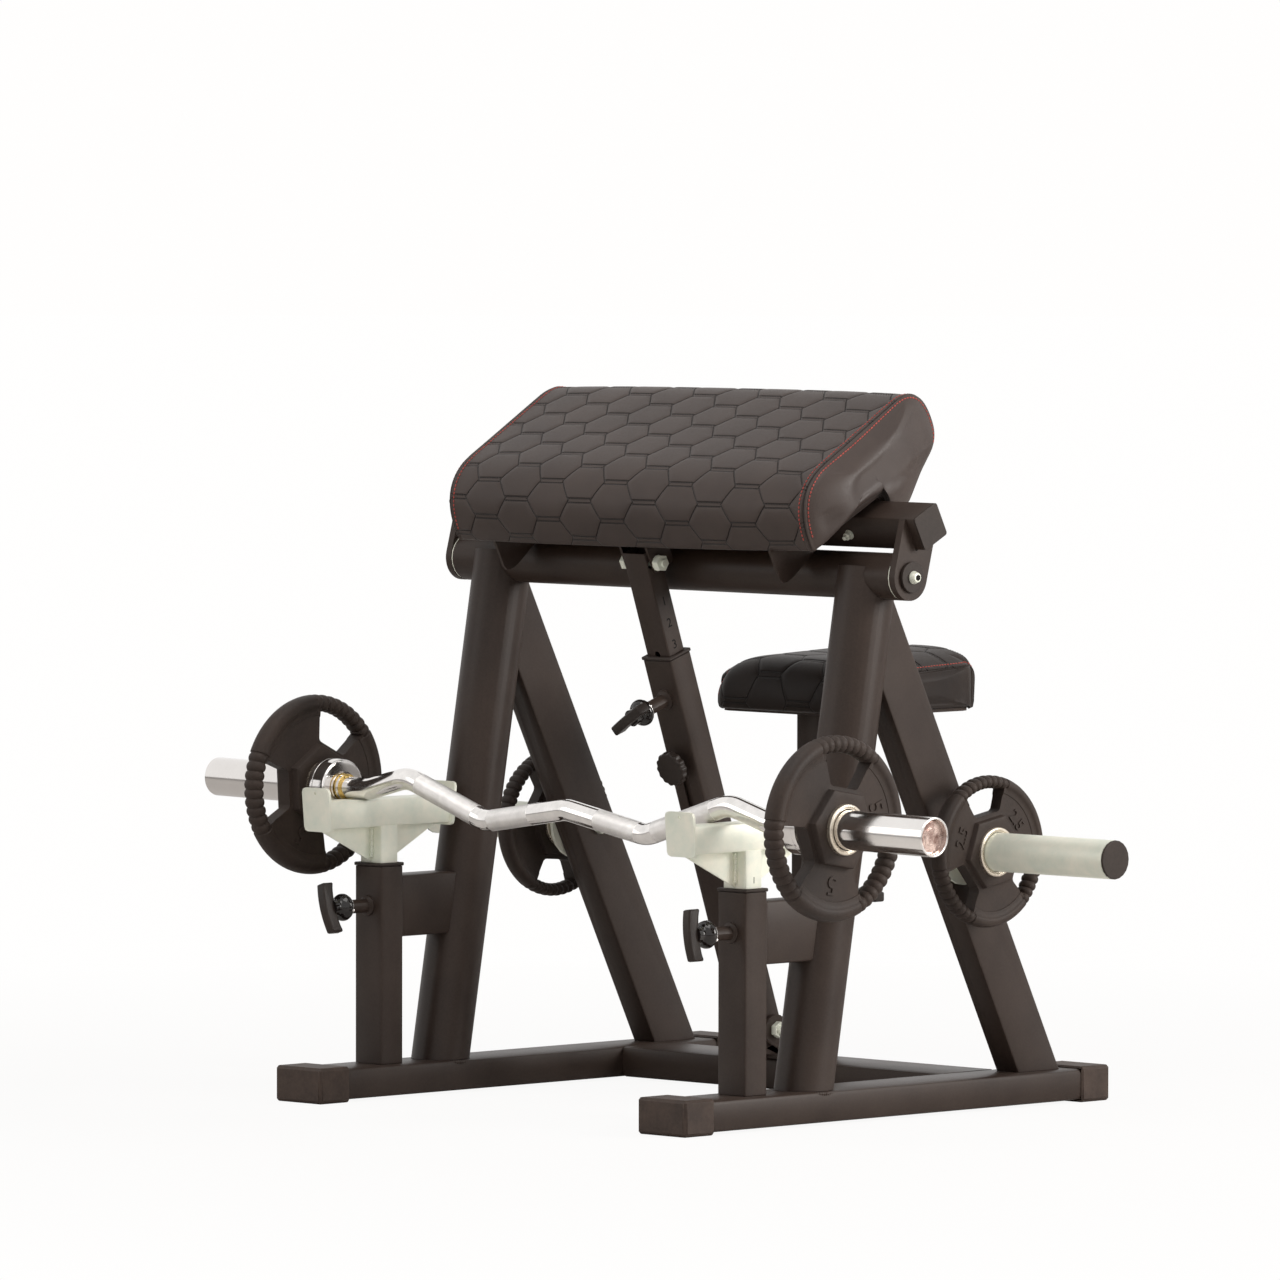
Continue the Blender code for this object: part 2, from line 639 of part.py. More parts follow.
def make_collar(name, parent, x, y, z):
    """A plastic guide: a lip on the outer tube's end and a liner down inside it."""
    lip = box(name, (POST_WIDTH + 2 * COLLAR_LIP, POST_DEPTH + 2 * COLLAR_LIP, COLLAR_HEIGHT - GAP),
              parent, (x, y, z + (COLLAR_HEIGHT + GAP) / 2))
    bevelled(lip, 0.0012, 1)
    liner_width = POST_WIDTH - 2 * (FRAME_WALL + GAP)
    liner_depth = POST_DEPTH - 2 * (FRAME_WALL + GAP)
    liner = slab("collar_liner", [rectangle(liner_width, liner_depth)], -COLLAR_LINER, COLLAR_HEIGHT / 2,
                 parent, (x, y, z))
    hole = rectangle(INNER_WIDTH + 2 * SLIDE_CLEARANCE, INNER_DEPTH + 2 * SLIDE_CLEARANCE)
    passage = slab("collar_passage", [hole], -2 * COLLAR_LINER, 2 * COLLAR_LINER, parent, (x, y, z))
    united(lip, liner)
    painted(boolean(lip, passage), BLACK_PLASTIC)


def make_posts(bench):
    for side, hand in ((-1, "left"), (1, "right")):
        post = box_tube("rest_post_" + hand, POST_WIDTH, POST_DEPTH, FRAME_WALL, TUBE_CORNER, RAIL_TOP + GAP,
                        POST_TOP, bench, (side * RAIL_X, POST_Y, 0.0))
        painted(add_barrel(post, bench, (side * RAIL_X, POST_FRONT, POST_PIN_Z), ALONG_Y), BLACK_STEEL)
        make_collar("collar_" + hand, bench, side * RAIL_X, POST_Y, POST_TOP)

        brace_end = LEG_FOOT_Y + math.tan(LEG_LEAN) * (BRACE_Z - RAIL_TOP)
        brace = box_tube("brace_" + hand, BRACE_WIDTH, BRACE_HEIGHT, FRAME_WALL, TUBE_CORNER,
                         -brace_end, -(POST_BACK + GAP), bench, (side * RAIL_X, 0.0, BRACE_Z), ALONG_Y)
        painted(boolean(brace, leg_cutter(bench, side)), BLACK_STEEL)


# Bolts and storage pegs

def bolt_along(name, radius, start, end, collars, parent, location, rotation):
    """A bolt along local z; each collar is (radius, start, end, sides), a head, a nut or a washer."""
    bolt = rod(name, radius, start, end, parent, location, rotation)
    for collar_radius, collar_start, collar_end, sides in collars:
        united(bolt, rod("collar", collar_radius, collar_start, collar_end, parent, location, rotation,
                         sides))
    return bolt


def make_storage_pegs(bench):
    """Open tubes with a closed, flanged root, bolted through the rear legs, and their end caps."""
    bore = PEG_RADIUS - PIPE_WALL
    start = REAR_OUTER_X + GAP
    floor = start + PEG_ROOT
    flange_end = start + PEG_FLANGE_THICKNESS
    nut_end = REAR_INNER_X - GAP
    stud_end = nut_end - NUT_HEIGHT - THREAD_SHOWN
    peg_profile = [
        (0.0, floor), (bore, floor), (bore, PEG_END), (PEG_RADIUS, PEG_END), (PEG_RADIUS, flange_end),
        (PEG_FLANGE_RADIUS, flange_end), (PEG_FLANGE_RADIUS, start), (PEG_BOLT_RADIUS, start),
        (PEG_BOLT_RADIUS, stud_end), (0.0, stud_end),
    ]
    face = PEG_END + GAP + PEG_CAP
    cap_profile = [
        (0.0, face), (PEG_RADIUS - 0.001, face), (PEG_RADIUS, face - 0.001), (PEG_RADIUS, PEG_END + GAP),
        (bore - GAP, PEG_END + GAP), (bore - GAP, PEG_END - PEG_CAP_PLUG), (0.0, PEG_END - PEG_CAP_PLUG),
    ]
    centre = (0.0, PEG_Y, PEG_Z)
    for side, hand in ((-1, "left"), (1, "right")):
        turn = (math.pi / 2, 0.0, side * math.pi / 2)
        peg = turned("storage_peg_" + hand, peg_profile, bench, centre, turn)
        nut = rod("peg_nut", NUT_FLATS / math.sqrt(3), nut_end - NUT_HEIGHT, nut_end, bench, centre, turn, 6)
        painted(united(peg, nut), BRIGHT_ZINC)
        painted(turned("peg_cap_" + hand, cap_profile, bench, centre, turn), BLACK_PLASTIC)


# Strut bracket, outer tube and inner tube

def make_strut_base(bench, strut):
    """The bracket on the cross rail, its bolt, and the outer tube that the bolt holds."""
    foot = RAIL_TOP + GAP
    bracket_outline = [
        (BRACKET_FOOT_FRONT, foot), (BRACKET_FOOT_BACK, foot),
        *arc(BRACKET_ROUND, math.radians(35), math.radians(235), 12, (STRUT_Y, STRUT_Z)),
    ]
    hole = circle(LOWER_BOLT_RADIUS + GAP, SMALL_ROUND, (STRUT_Y, STRUT_Z))
    cheeks = []
    for name, start in (("strut_bracket", -BRACKET_X - BRACKET_PLATE), ("far_cheek", BRACKET_X)):
        cheeks.append(slab(name, [bracket_outline, hole], start, start + BRACKET_PLATE, bench,
                           rotation=ALONG_X))
    base_back = SEAT_POST_Y - POST_DEPTH / 2 - KNUCKLE_CLEARANCE
    base_size = (2 * BRACKET_X + BRACKET_PLATE, base_back - BRACKET_FOOT_FRONT, BRACKET_PLATE)
    base = box("bracket_base", base_size, bench,
               (0.0, (base_back + BRACKET_FOOT_FRONT) / 2, foot + BRACKET_PLATE / 2))
    painted(united(cheeks[0], base, cheeks[1]), BLACK_STEEL)

    inner_face = POST_WIDTH / 2 + GAP
    outer_face = BRACKET_X + BRACKET_PLATE + GAP
    hexagon = NUT_FLATS / math.sqrt(3)
    collars = [
        (hexagon, -outer_face - NUT_HEIGHT, -outer_face, 6),
        (hexagon, outer_face, outer_face + NUT_HEIGHT, 6),
        (WASHER_RADIUS, inner_face, BRACKET_X - GAP, SMALL_ROUND),
        (WASHER_RADIUS, GAP - BRACKET_X, -inner_face, SMALL_ROUND),
    ]
    bolt = bolt_along("strut_base_bolt", LOWER_BOLT_RADIUS, -outer_face - NUT_HEIGHT / 2,
                      outer_face + NUT_HEIGHT + THREAD_SHOWN, collars, bench, (0.0, STRUT_Y, STRUT_Z),
                      ALONG_X)
    painted(bolt, BRIGHT_ZINC)

    tube = box_tube("strut_outer_tube", POST_WIDTH, POST_DEPTH, FRAME_WALL, TUBE_CORNER, -STRUT_TAIL,
                    STRUT_TUBE_TOP, strut)
    boolean(tube, rod("pivot_hole", LOWER_BOLT_RADIUS + GAP, -POST_WIDTH, POST_WIDTH, strut,
                      rotation=ALONG_X))
    slot_top = KNOB_AT + SLOT_WIDTH / 2
    slot_bottom = KNOB_AT - STRUT_TRAVEL - SLOT_WIDTH / 2
    slot_outline = rounded([
        (-SLOT_WIDTH / 2, slot_bottom, SLOT_WIDTH / 2.05), (SLOT_WIDTH / 2, slot_bottom, SLOT_WIDTH / 2.05),
        (SLOT_WIDTH / 2, slot_top, SLOT_WIDTH / 2.05), (-SLOT_WIDTH / 2, slot_top, SLOT_WIDTH / 2.05),
    ], 4)
    slot = slab("knob_slot", [slot_outline], POST_DEPTH / 4, POST_DEPTH, strut, rotation=ALONG_Y)
    boolean(tube, slot)
    painted(add_barrel(tube, strut, (0.0, -POST_DEPTH / 2, STRUT_PIN_AT), ALONG_Y), BLACK_STEEL)
    make_collar("collar_strut", strut, 0.0, 0.0, STRUT_TUBE_TOP)


def make_strut_inner(strut):
    """The inner tube with its index holes, stem hole and the long hole for the upper pin."""
    tube = box_tube("strut_inner_tube", INNER_WIDTH, INNER_DEPTH, INNER_WALL, INNER_CORNER, STRUT_INNER_START,
                    STRUT_LENGTH + STRUT_INNER_TAIL, strut)
    pin_slot_length = UPPER_SLOT_FRONT + UPPER_SLOT_BACK
    pin_slot_radius = CLEVIS_BOLT_RADIUS + 2 * GAP
    outline = rounded([
        (-UPPER_SLOT_FRONT, -pin_slot_radius, pin_slot_radius / 1.02),
        (pin_slot_length - UPPER_SLOT_FRONT, -pin_slot_radius, pin_slot_radius / 1.02),
        (pin_slot_length - UPPER_SLOT_FRONT, pin_slot_radius, pin_slot_radius / 1.02),
        (-UPPER_SLOT_FRONT, pin_slot_radius, pin_slot_radius / 1.02),
    ], 4)
    boolean(tube, slab("upper_pin_slot", [outline], -INNER_WIDTH, INNER_WIDTH, strut,
                       (0.0, 0.0, STRUT_LENGTH), ALONG_X))
    front = -INNER_DEPTH / 2
    for index in range(3):
        place = (0.0, front, STRUT_PIN_AT + index * STRUT_HOLE_PITCH)
        boolean(tube, rod("index_hole", PIN_RADIUS + GAP, -2 * INNER_WALL, INNER_WALL, strut, place, ALONG_Y,
                          HOLE_ROUND))
    boolean(tube, rod("stem_hole", STEM_RADIUS + GAP, -2 * INNER_WALL, INNER_WALL, strut,
                      (0.0, front, KNOB_AT), ALONG_Y))
    painted(tube, BLACK_STEEL)


def make_knob(strut):
    """The star knob; its origin is on its own axis, at the outer tube's front face."""
    knob = slab("clamp_knob", [star_outline()], KNOB_STAND_OFF, KNOB_STAND_OFF + KNOB_THICKNESS, strut,
                (0.0, -POST_DEPTH / 2, KNOB_AT), ALONG_Y)
    bevelled(knob, 0.0015, 1)
    stem_end = -(POST_DEPTH - INNER_DEPTH) / 2 - STEM_BITE
    profile = [
        (0.0, KNOB_STAND_OFF + KNOB_THICKNESS / 2),
        (KNOB_NECK_RADIUS - 0.002, KNOB_STAND_OFF + KNOB_THICKNESS / 2),
        (KNOB_NECK_RADIUS, GAP), (STEM_RADIUS, GAP), (STEM_RADIUS, stem_end), (0.0, stem_end),
    ]
    neck = turned("knob_neck", profile, strut, (0.0, -POST_DEPTH / 2, KNOB_AT), ALONG_Y, steps=SMALL_ROUND)
    painted(boolean(knob, neck, "UNION"), BLACK_PLASTIC)


def star_outline():
    """A round outline with shallow lobes for the fingers."""
    points = []
    count = 4 * KNOB_LOBES
    for i in range(count):
        turn = 2 * math.pi * i / count
        radius = KNOB_RADIUS - KNOB_LOBE * (1 - math.cos(KNOB_LOBES * turn)) / 2
        points.append((radius * math.cos(turn), radius * math.sin(turn)))
    return points


# Spring pull pins

def pull_pin(name, parent, location, rotation):
    """A pin with a hub and a T handle; local z points out along the pin."""
    hub_start = PIN_BARREL_LENGTH + GAP
    hub_end = hub_start + PIN_HUB_HEIGHT
    slab_start = hub_end + PIN_NECK_LENGTH
    profile = [
        (0.0, slab_start + T_DEPTH / 2), (PIN_NECK_RADIUS - 0.002, slab_start + T_DEPTH / 2),
        (PIN_NECK_RADIUS, hub_end), (PIN_HUB_RADIUS - 0.001, hub_end), (PIN_HUB_RADIUS, hub_end - 0.001),
        (PIN_HUB_RADIUS, hub_start), (PIN_RADIUS, hub_start), (PIN_RADIUS, -PIN_TIP), (0.0, -PIN_TIP),
    ]
    pin = turned(name, profile, parent, location, rotation, steps=SMALL_ROUND)
    handle = slab("t_handle", [handle_outline(slab_start)], -T_THICKNESS / 2, T_THICKNESS / 2, parent,
                  location, rotation)
    handle.data.transform(Matrix.Rotation(math.pi / 2, 4, "Z") @ Matrix.Rotation(math.pi / 2, 4, "X"))
    bevelled(handle, 0.002, 1)
    return painted(boolean(pin, handle, "UNION"), BLACK_PLASTIC)


def handle_outline(start):
    """The T handle seen from its side: a bar whose ends bend back towards the hub."""
    half = T_LENGTH / 2
    inner = [(half * t, start + T_BOW * (1 - t * t)) for t in (-1.0, -0.4, 0.4, 1.0)]
    outer = [(half * t, start + T_DEPTH - T_BOW * t * t) for t in (1.0, 0.4, -0.4, -1.0)]
    return inner + outer


def make_pull_pins(bench, strut):
    seats = {
        "pull_pin_left": (bench, (-RAIL_X, POST_FRONT, POST_PIN_Z), ALONG_Y, LEFT_T_TURN),
        "pull_pin_right": (bench, (RAIL_X, POST_FRONT, POST_PIN_Z), ALONG_Y, RIGHT_T_TURN),
        "pull_pin_strut": (strut, (0.0, -POST_DEPTH / 2, STRUT_PIN_AT), ALONG_Y, STRUT_T_TURN),
        "pull_pin_seat": (bench, (0.0, SEAT_POST_Y + POST_DEPTH / 2, SEAT_PIN_Z), ALONG_BACK, SEAT_T_TURN),
    }
    for name, (parent, place, facing, turn) in seats.items():
        pull_pin(name, parent, place, (facing[0], turn, 0.0))


# Tilting carriage under the arm pad

def make_carriage(carriage):
    tube = box_tube("carriage_tube", CARRIAGE_SIZE, CARRIAGE_SIZE, PIPE_WALL, TUBE_CORNER, -CARRIAGE_END,
                    CARRIAGE_END, carriage, (0.0, CARRIAGE_U, CARRIAGE_N), ALONG_X)
    painted(tube, BLACK_STEEL)
    plug = CARRIAGE_SIZE - 2 * (PIPE_WALL + GAP)
    for side, hand in ((-1, "left"), (1, "right")):
        turn = (math.pi / 2, 0.0, side * math.pi / 2)
        place = (0.0, CARRIAGE_U, CARRIAGE_N)
        cap = slab("carriage_cap_" + hand, [rectangle(CARRIAGE_SIZE, CARRIAGE_SIZE, TUBE_CORNER)],
                   CARRIAGE_END + GAP, CARRIAGE_END + GAP + CARRIAGE_CAP, carriage, place, turn)
        inside = slab("plug", [rectangle(plug, plug)], CARRIAGE_END - CARRIAGE_CAP_PLUG,
                      CARRIAGE_END + GAP + CARRIAGE_CAP / 2, carriage, place, turn)
        painted(united(cap, inside), BLACK_PLASTIC)


def make_pivot_plates(carriage):
    """The lobed plates that hang the carriage tube on the crossbar's ends."""
    front = CARRIAGE_FRONT - GAP
    low = CARRIAGE_LOW - GAP
    back = CARRIAGE_BACK - 0.0085
    front_tangent = tangent_angle((front, CARRIAGE_TOP), 1)
    back_tangent = tangent_angle((back, low), -1)
    lobe = arc(LOBE_RADIUS, front_tangent, back_tangent + 2 * math.pi, 20)
    outline = [(back, low), (front, low), (front, CARRIAGE_TOP), *lobe]
    hole = circle(PIVOT_BOLT_RADIUS + GAP, SMALL_ROUND)
    for side, hand in ((-1, "left"), (1, "right")):
        inner = min(side * PIVOT_PLATE_X, side * (PIVOT_PLATE_X + PIVOT_PLATE))
        plate = slab("pivot_plate_" + hand, [outline, hole], inner, inner + PIVOT_PLATE, carriage,
                     rotation=ALONG_X)
        painted(plate, BLACK_STEEL)


def tangent_angle(point, turn):
    """Angle on the lobe circle where the tangent through an outside point touches it."""
    distance = math.hypot(*point)
    return math.atan2(point[1], point[0]) + turn * math.acos(LOBE_RADIUS / distance)


def make_pad_arms(carriage):
    """Two flat arms from the carriage tube forward under the board."""
    top = CARRIAGE_TOP
    rear = CARRIAGE_FRONT - GAP
    outline = rounded([
        (rear, top, 0.0), (ARM_FRONT, top, 0.0), (ARM_FRONT, ARM_DROP, 0.009), (-0.050, ARM_DROP, 0.010),
        (0.0, CROSSBAR_RADIUS + 0.0025, 0.0), (rear, CROSSBAR_RADIUS + 0.0045, 0.0),
    ])
    for side, hand in ((-1, "left"), (1, "right")):
        start = side * ARM_X - ARM_PLATE / 2
        arm = slab("pad_arm_" + hand, [outline], start, start + ARM_PLATE, carriage, rotation=ALONG_X)
        painted(arm, BLACK_STEEL)


def make_clevis(carriage):
    """The fork under the board and the bolt that carries the strut's upper end."""
    outline = rounded([
        (CLEVIS_U - CLEVIS_FRONT, CARRIAGE_TOP, 0.0),
        (CLEVIS_U - CLEVIS_FRONT, CLEVIS_N - CLEVIS_BELOW, 0.006),
        (CLEVIS_U + CLEVIS_BACK, CLEVIS_N - CLEVIS_BELOW, 0.006),
        (CLEVIS_U + CLEVIS_BACK, CARRIAGE_TOP, 0.0),
    ])
    hole = circle(CLEVIS_BOLT_RADIUS + GAP, SMALL_ROUND, (CLEVIS_U, CLEVIS_N))
    cheeks = []
    for name, start in (("clevis", -CLEVIS_X - CLEVIS_PLATE), ("far_cheek", CLEVIS_X)):
        cheeks.append(slab(name, [outline, hole], start, start + CLEVIS_PLATE, carriage, rotation=ALONG_X))
    web_size = (2 * CLEVIS_X + CLEVIS_PLATE, CLEVIS_FRONT + CLEVIS_BACK - 2 * GAP, CLEVIS_PLATE)
    web_u = CLEVIS_U + (CLEVIS_BACK - CLEVIS_FRONT) / 2
    web = box("clevis_web", web_size, carriage, (0.0, web_u, CARRIAGE_TOP - GAP - CLEVIS_PLATE / 2))
    painted(united(cheeks[0], web, cheeks[1]), BLACK_STEEL)

    face = CLEVIS_X + CLEVIS_PLATE + GAP
    hexagon = NUT_FLATS / math.sqrt(3)
    collars = [
        (hexagon, -face - NUT_HEIGHT, -face, 6),
        (WASHER_RADIUS, face, face + WASHER_THICKNESS, SMALL_ROUND),
        (hexagon, face + WASHER_THICKNESS / 2, face + WASHER_THICKNESS + NUT_HEIGHT, 6),
    ]
    bolt = bolt_along("clevis_bolt", CLEVIS_BOLT_RADIUS, -face - NUT_HEIGHT / 2,
                      face + NUT_HEIGHT + 2 * THREAD_SHOWN, collars, carriage,
                      (0.0, CLEVIS_U, CLEVIS_N), ALONG_X)
    painted(bolt, BRIGHT_ZINC)


def make_board(carriage):
    size = (2 * BOARD_HALF_WIDTH, BOARD_BACK - BOARD_FRONT, BOARD_THICKNESS)
    centre = (0.0, (BOARD_FRONT + BOARD_BACK) / 2, PAD_BOTTOM + BOARD_THICKNESS / 2)
    painted(box("pad_board", size, carriage, centre), PLYWOOD)


# Cushions: a closed section swept across the pad, crowned, quilted and drawn in at the seams

def hexagon_edge_distance(x, y):
    """Distance from (x, y) to the nearest edge of a honeycomb whose hexagons have flat tops."""
    row = math.sqrt(3.0) * HEX_SIDE
    column = 1.5 * HEX_SIDE
    near = []
    first = round(x / column)
    for i in (first - 1, first, first + 1):
        offset = row / 2 if i % 2 else 0.0
        j = round((y - offset) / row)
        for step in (-1, 0, 1):
            near.append(math.hypot(x - i * column, y - offset - (j + step) * row))
    near.sort()
    return (near[1] - near[0]) / 2


def resampled(outline, spacing, quilted):
    """Walk a closed outline at an even spacing where it is quilted, and by its corners elsewhere.

    Gives (point, outward normal, row) for each step; row counts the quilted steps and is None
    elsewhere. The outline runs clockwise, so that outward is on its left.
    """
    points = [Vector(p) for p in outline]
    samples = []
    due = 0.0
    row = 0
    for start, end in zip(points, points[1:] + points[:1]):
        edge = end - start
        normal = Vector((-edge.y, edge.x)).normalized()
        fine = quilted((start + end) / 2)
        if not fine:
            due = 0.0
        while due < edge.length - 0.000001:
            samples.append((start + edge.normalized() * due, normal, row if fine else None))
            row += 1 if fine else 0
            due += spacing if fine else PLAIN_SPACING
        due = due - edge.length if fine else 0.0
    smooth = []
    for i, (point, normal, row) in enumerate(samples):
        blended = (samples[i - 1][1] + normal + samples[(i + 1) % len(samples)][1]).normalized()
        smooth.append((point, blended, row))
    return smooth


def cushion(name, outline, quilted, half_width, bulge, crown, parent, location, plan=None):
    """Sweep the section from seam to seam, then round the side panels to a blunt end.

    The quilted mesh is a lattice of triangles whose odd rows are shifted by half a step, so that
    every side of every hexagon lies along its edges. plan, if given, maps (x, y, z) to a plan with
    round corners.
    """
    pitch = HEX_SIDE / 2
    spacing = math.sqrt(3.0) * HEX_SIDE / 4
    samples = resampled(outline, spacing, quilted)
    middle = sum((s[0] for s in samples), Vector((0.0, 0.0))) / len(samples)
    reach = int(half_width / pitch - 0.8)
    stations = [-half_width, *[pitch * i for i in range(-reach, reach + 1)], half_width]
    rings = []
    for station in stations:
        ring = []
        for point, normal, row in samples:
            odd = row is not None and row % 2 == 1 and abs(station) < half_width
            x = station + (pitch / 2 if odd else 0.0)
            fade = 1 - (x / half_width) ** 2
            y, z = point.x, point.y + crown * fade * max(0.0, normal.y)
            if row is not None:
                distance = hexagon_edge_distance(x, row * spacing)
                sink = CHANNEL_DEPTH * math.exp(-(distance / CHANNEL_WIDTH) ** 2)
                y, z = y - normal.x * sink, z - normal.y * sink
            ring.append((x, y, z))
        rings.append(ring)
    for turn in (math.radians(30), math.radians(62)):
        x = half_width + bulge * math.sin(turn)
        shrink = 1 - (1 - math.cos(turn)) * 0.55
        ring = [middle + (point - middle) * shrink for point, normal, row in samples]
        rings.append([(x, p.x, p.y) for p in ring])
        rings.insert(0, [(-x, p.x, p.y) for p in ring])
    bm = bmesh.new()
    grid = [[bm.verts.new(plan(*co) if plan else co) for co in ring] for ring in rings]
    size = len(samples)
    for lower, upper in zip(grid, grid[1:]):
        for j in range(size):
            k = (j + 1) % size
            row = samples[j][2]
            a, b, c, d = lower[j], upper[j], lower[k], upper[k]
            if row is not None and row % 2 == 1:
                bm.faces.new((a, b, d))
                bm.faces.new((a, d, c))
            else:
                bm.faces.new((a, b, c))
                bm.faces.new((b, d, c))
    for ring, end in ((grid[0], -1), (grid[-1], 1)):
        centre = bm.verts.new((end * (half_width + bulge), middle.x, middle.y))
        for j in range(size):
            bm.faces.new((ring[j], ring[(j + 1) % size], centre))
    bmesh.ops.recalc_face_normals(bm, faces=bm.faces)
    mesh = bpy.data.meshes.new(name)
    bm.to_mesh(mesh)
    bm.free()
    return add(name, mesh, parent, location)


def arm_pad_outline():
    """The arm pad's section in (u, n), starting at the bottom of its front face."""
    lip_front = CARRIAGE_BACK + 0.003
    return rounded([
        (PAD_FRONT, PAD_BOTTOM, 0.0), (PAD_FRONT - 0.002, PAD_FRONT_HEIGHT, 0.045),
        (PAD_BACK, PAD_BACK_HEIGHT, 0.030), (PAD_BACK, 0.110, 0.020), (PAD_BACK - 0.019, 0.076, 0.020),
        (PAD_BACK - 0.047, 0.062, 0.0), (PAD_LIP_BACK, PAD_LIP, 0.0), (lip_front, PAD_LIP, 0.0),
        (lip_front, PAD_BOTTOM, 0.0),
    ], 3)


def make_arm_pad(carriage):
    pad = cushion("arm_pad", arm_pad_outline(), lambda p: p.y > PAD_BOTTOM + 0.012,
                  PAD_HALF_WIDTH, PAD_SIDE_BULGE, PAD_CROWN, carriage, (0.0, 0.0, 0.0))
    pocket_clearance = 0.0005
    pocket_height = BOARD_THICKNESS + pocket_clearance
    pocket_size = (2 * (BOARD_HALF_WIDTH + pocket_clearance),
                   BOARD_BACK - BOARD_FRONT + 2 * pocket_clearance, 2 * pocket_height)
    pocket = box("board_pocket", pocket_size, carriage,
                 (0.0, (BOARD_FRONT + BOARD_BACK) / 2, PAD_BOTTOM))
    painted(boolean(pad, pocket), BLACK_LEATHER)


# Seat

def seat_outline():
    """The seat's section in (y, z) about its own centre, with a waterfall front."""
    half = SEAT_LENGTH / 2
    return rounded([
        (-half, 0.0, 0.012), (-half, SEAT_FRONT_HEIGHT, 0.042), (half, SEAT_BACK_HEIGHT, 0.016),
        (half, 0.0, 0.006),
    ], 3)


def round_plan(x, y, z):
    """Draw the seat's four corners in, so that its plan is a rounded square."""
    half_y = SEAT_LENGTH / 2 - SEAT_CORNER
    half_x = SEAT_WIDTH / 2 - SEAT_CORNER
    over_x = max(0.0, abs(x) - half_x)
    over_y = max(0.0, abs(y) - half_y)
    if over_x == 0.0 or over_y == 0.0:
        return (x, y, z)
    reach = math.hypot(over_x, over_y)
    square = max(over_x, over_y)
    scale = square / reach
    return (math.copysign(half_x + over_x * scale, x), math.copysign(half_y + over_y * scale, y), z)


def make_seat(bench):
    seat_frame = empty("seat_frame", bench, (0.0, SEAT_POST_Y, 0.0))
    sleeve = box_tube("seat_sleeve", POST_WIDTH, POST_DEPTH, FRAME_WALL, TUBE_CORNER, RAIL_TOP + GAP,
                      SEAT_SLEEVE_TOP, bench, (0.0, SEAT_POST_Y, 0.0))
    add_barrel(sleeve, bench, (0.0, SEAT_POST_Y + POST_DEPTH / 2, SEAT_PIN_Z), ALONG_BACK)
    painted(sleeve, BLACK_STEEL)
    make_collar("collar_seat", bench, 0.0, SEAT_POST_Y, SEAT_SLEEVE_TOP)

    post = box_tube("seat_post", INNER_WIDTH, INNER_DEPTH, INNER_WALL, INNER_CORNER, SEAT_POST_BOTTOM,
                    SEAT_PLATE_Z + SEAT_PLATE_THICKNESS / 2, seat_frame)
    for index in range(-1, 2):
        place = (0.0, INNER_DEPTH / 2, SEAT_PIN_Z - index * HOLE_PITCH)
        boolean(post, rod("index_hole", PIN_RADIUS + GAP, -2 * INNER_WALL, INNER_WALL, seat_frame, place,
                          ALONG_BACK, HOLE_ROUND))
    plate = slab("seat_plate", [rectangle(SEAT_PLATE_SIZE, SEAT_PLATE_SIZE, 0.015)], SEAT_PLATE_Z,
                 SEAT_PLATE_Z + SEAT_PLATE_THICKNESS, seat_frame, (0.0, SEAT_Y - SEAT_POST_Y, 0.0))
    painted(united(post, plate), BLACK_STEEL)

    pad = cushion("seat_pad", seat_outline(), lambda p: p.y > 0.012, SEAT_WIDTH / 2 - SEAT_SIDE_BULGE,
                  SEAT_SIDE_BULGE, SEAT_CROWN, seat_frame, (0.0, SEAT_Y - SEAT_POST_Y, SEAT_Z), round_plan)
    painted(pad, BLACK_LEATHER)


# Bar rests

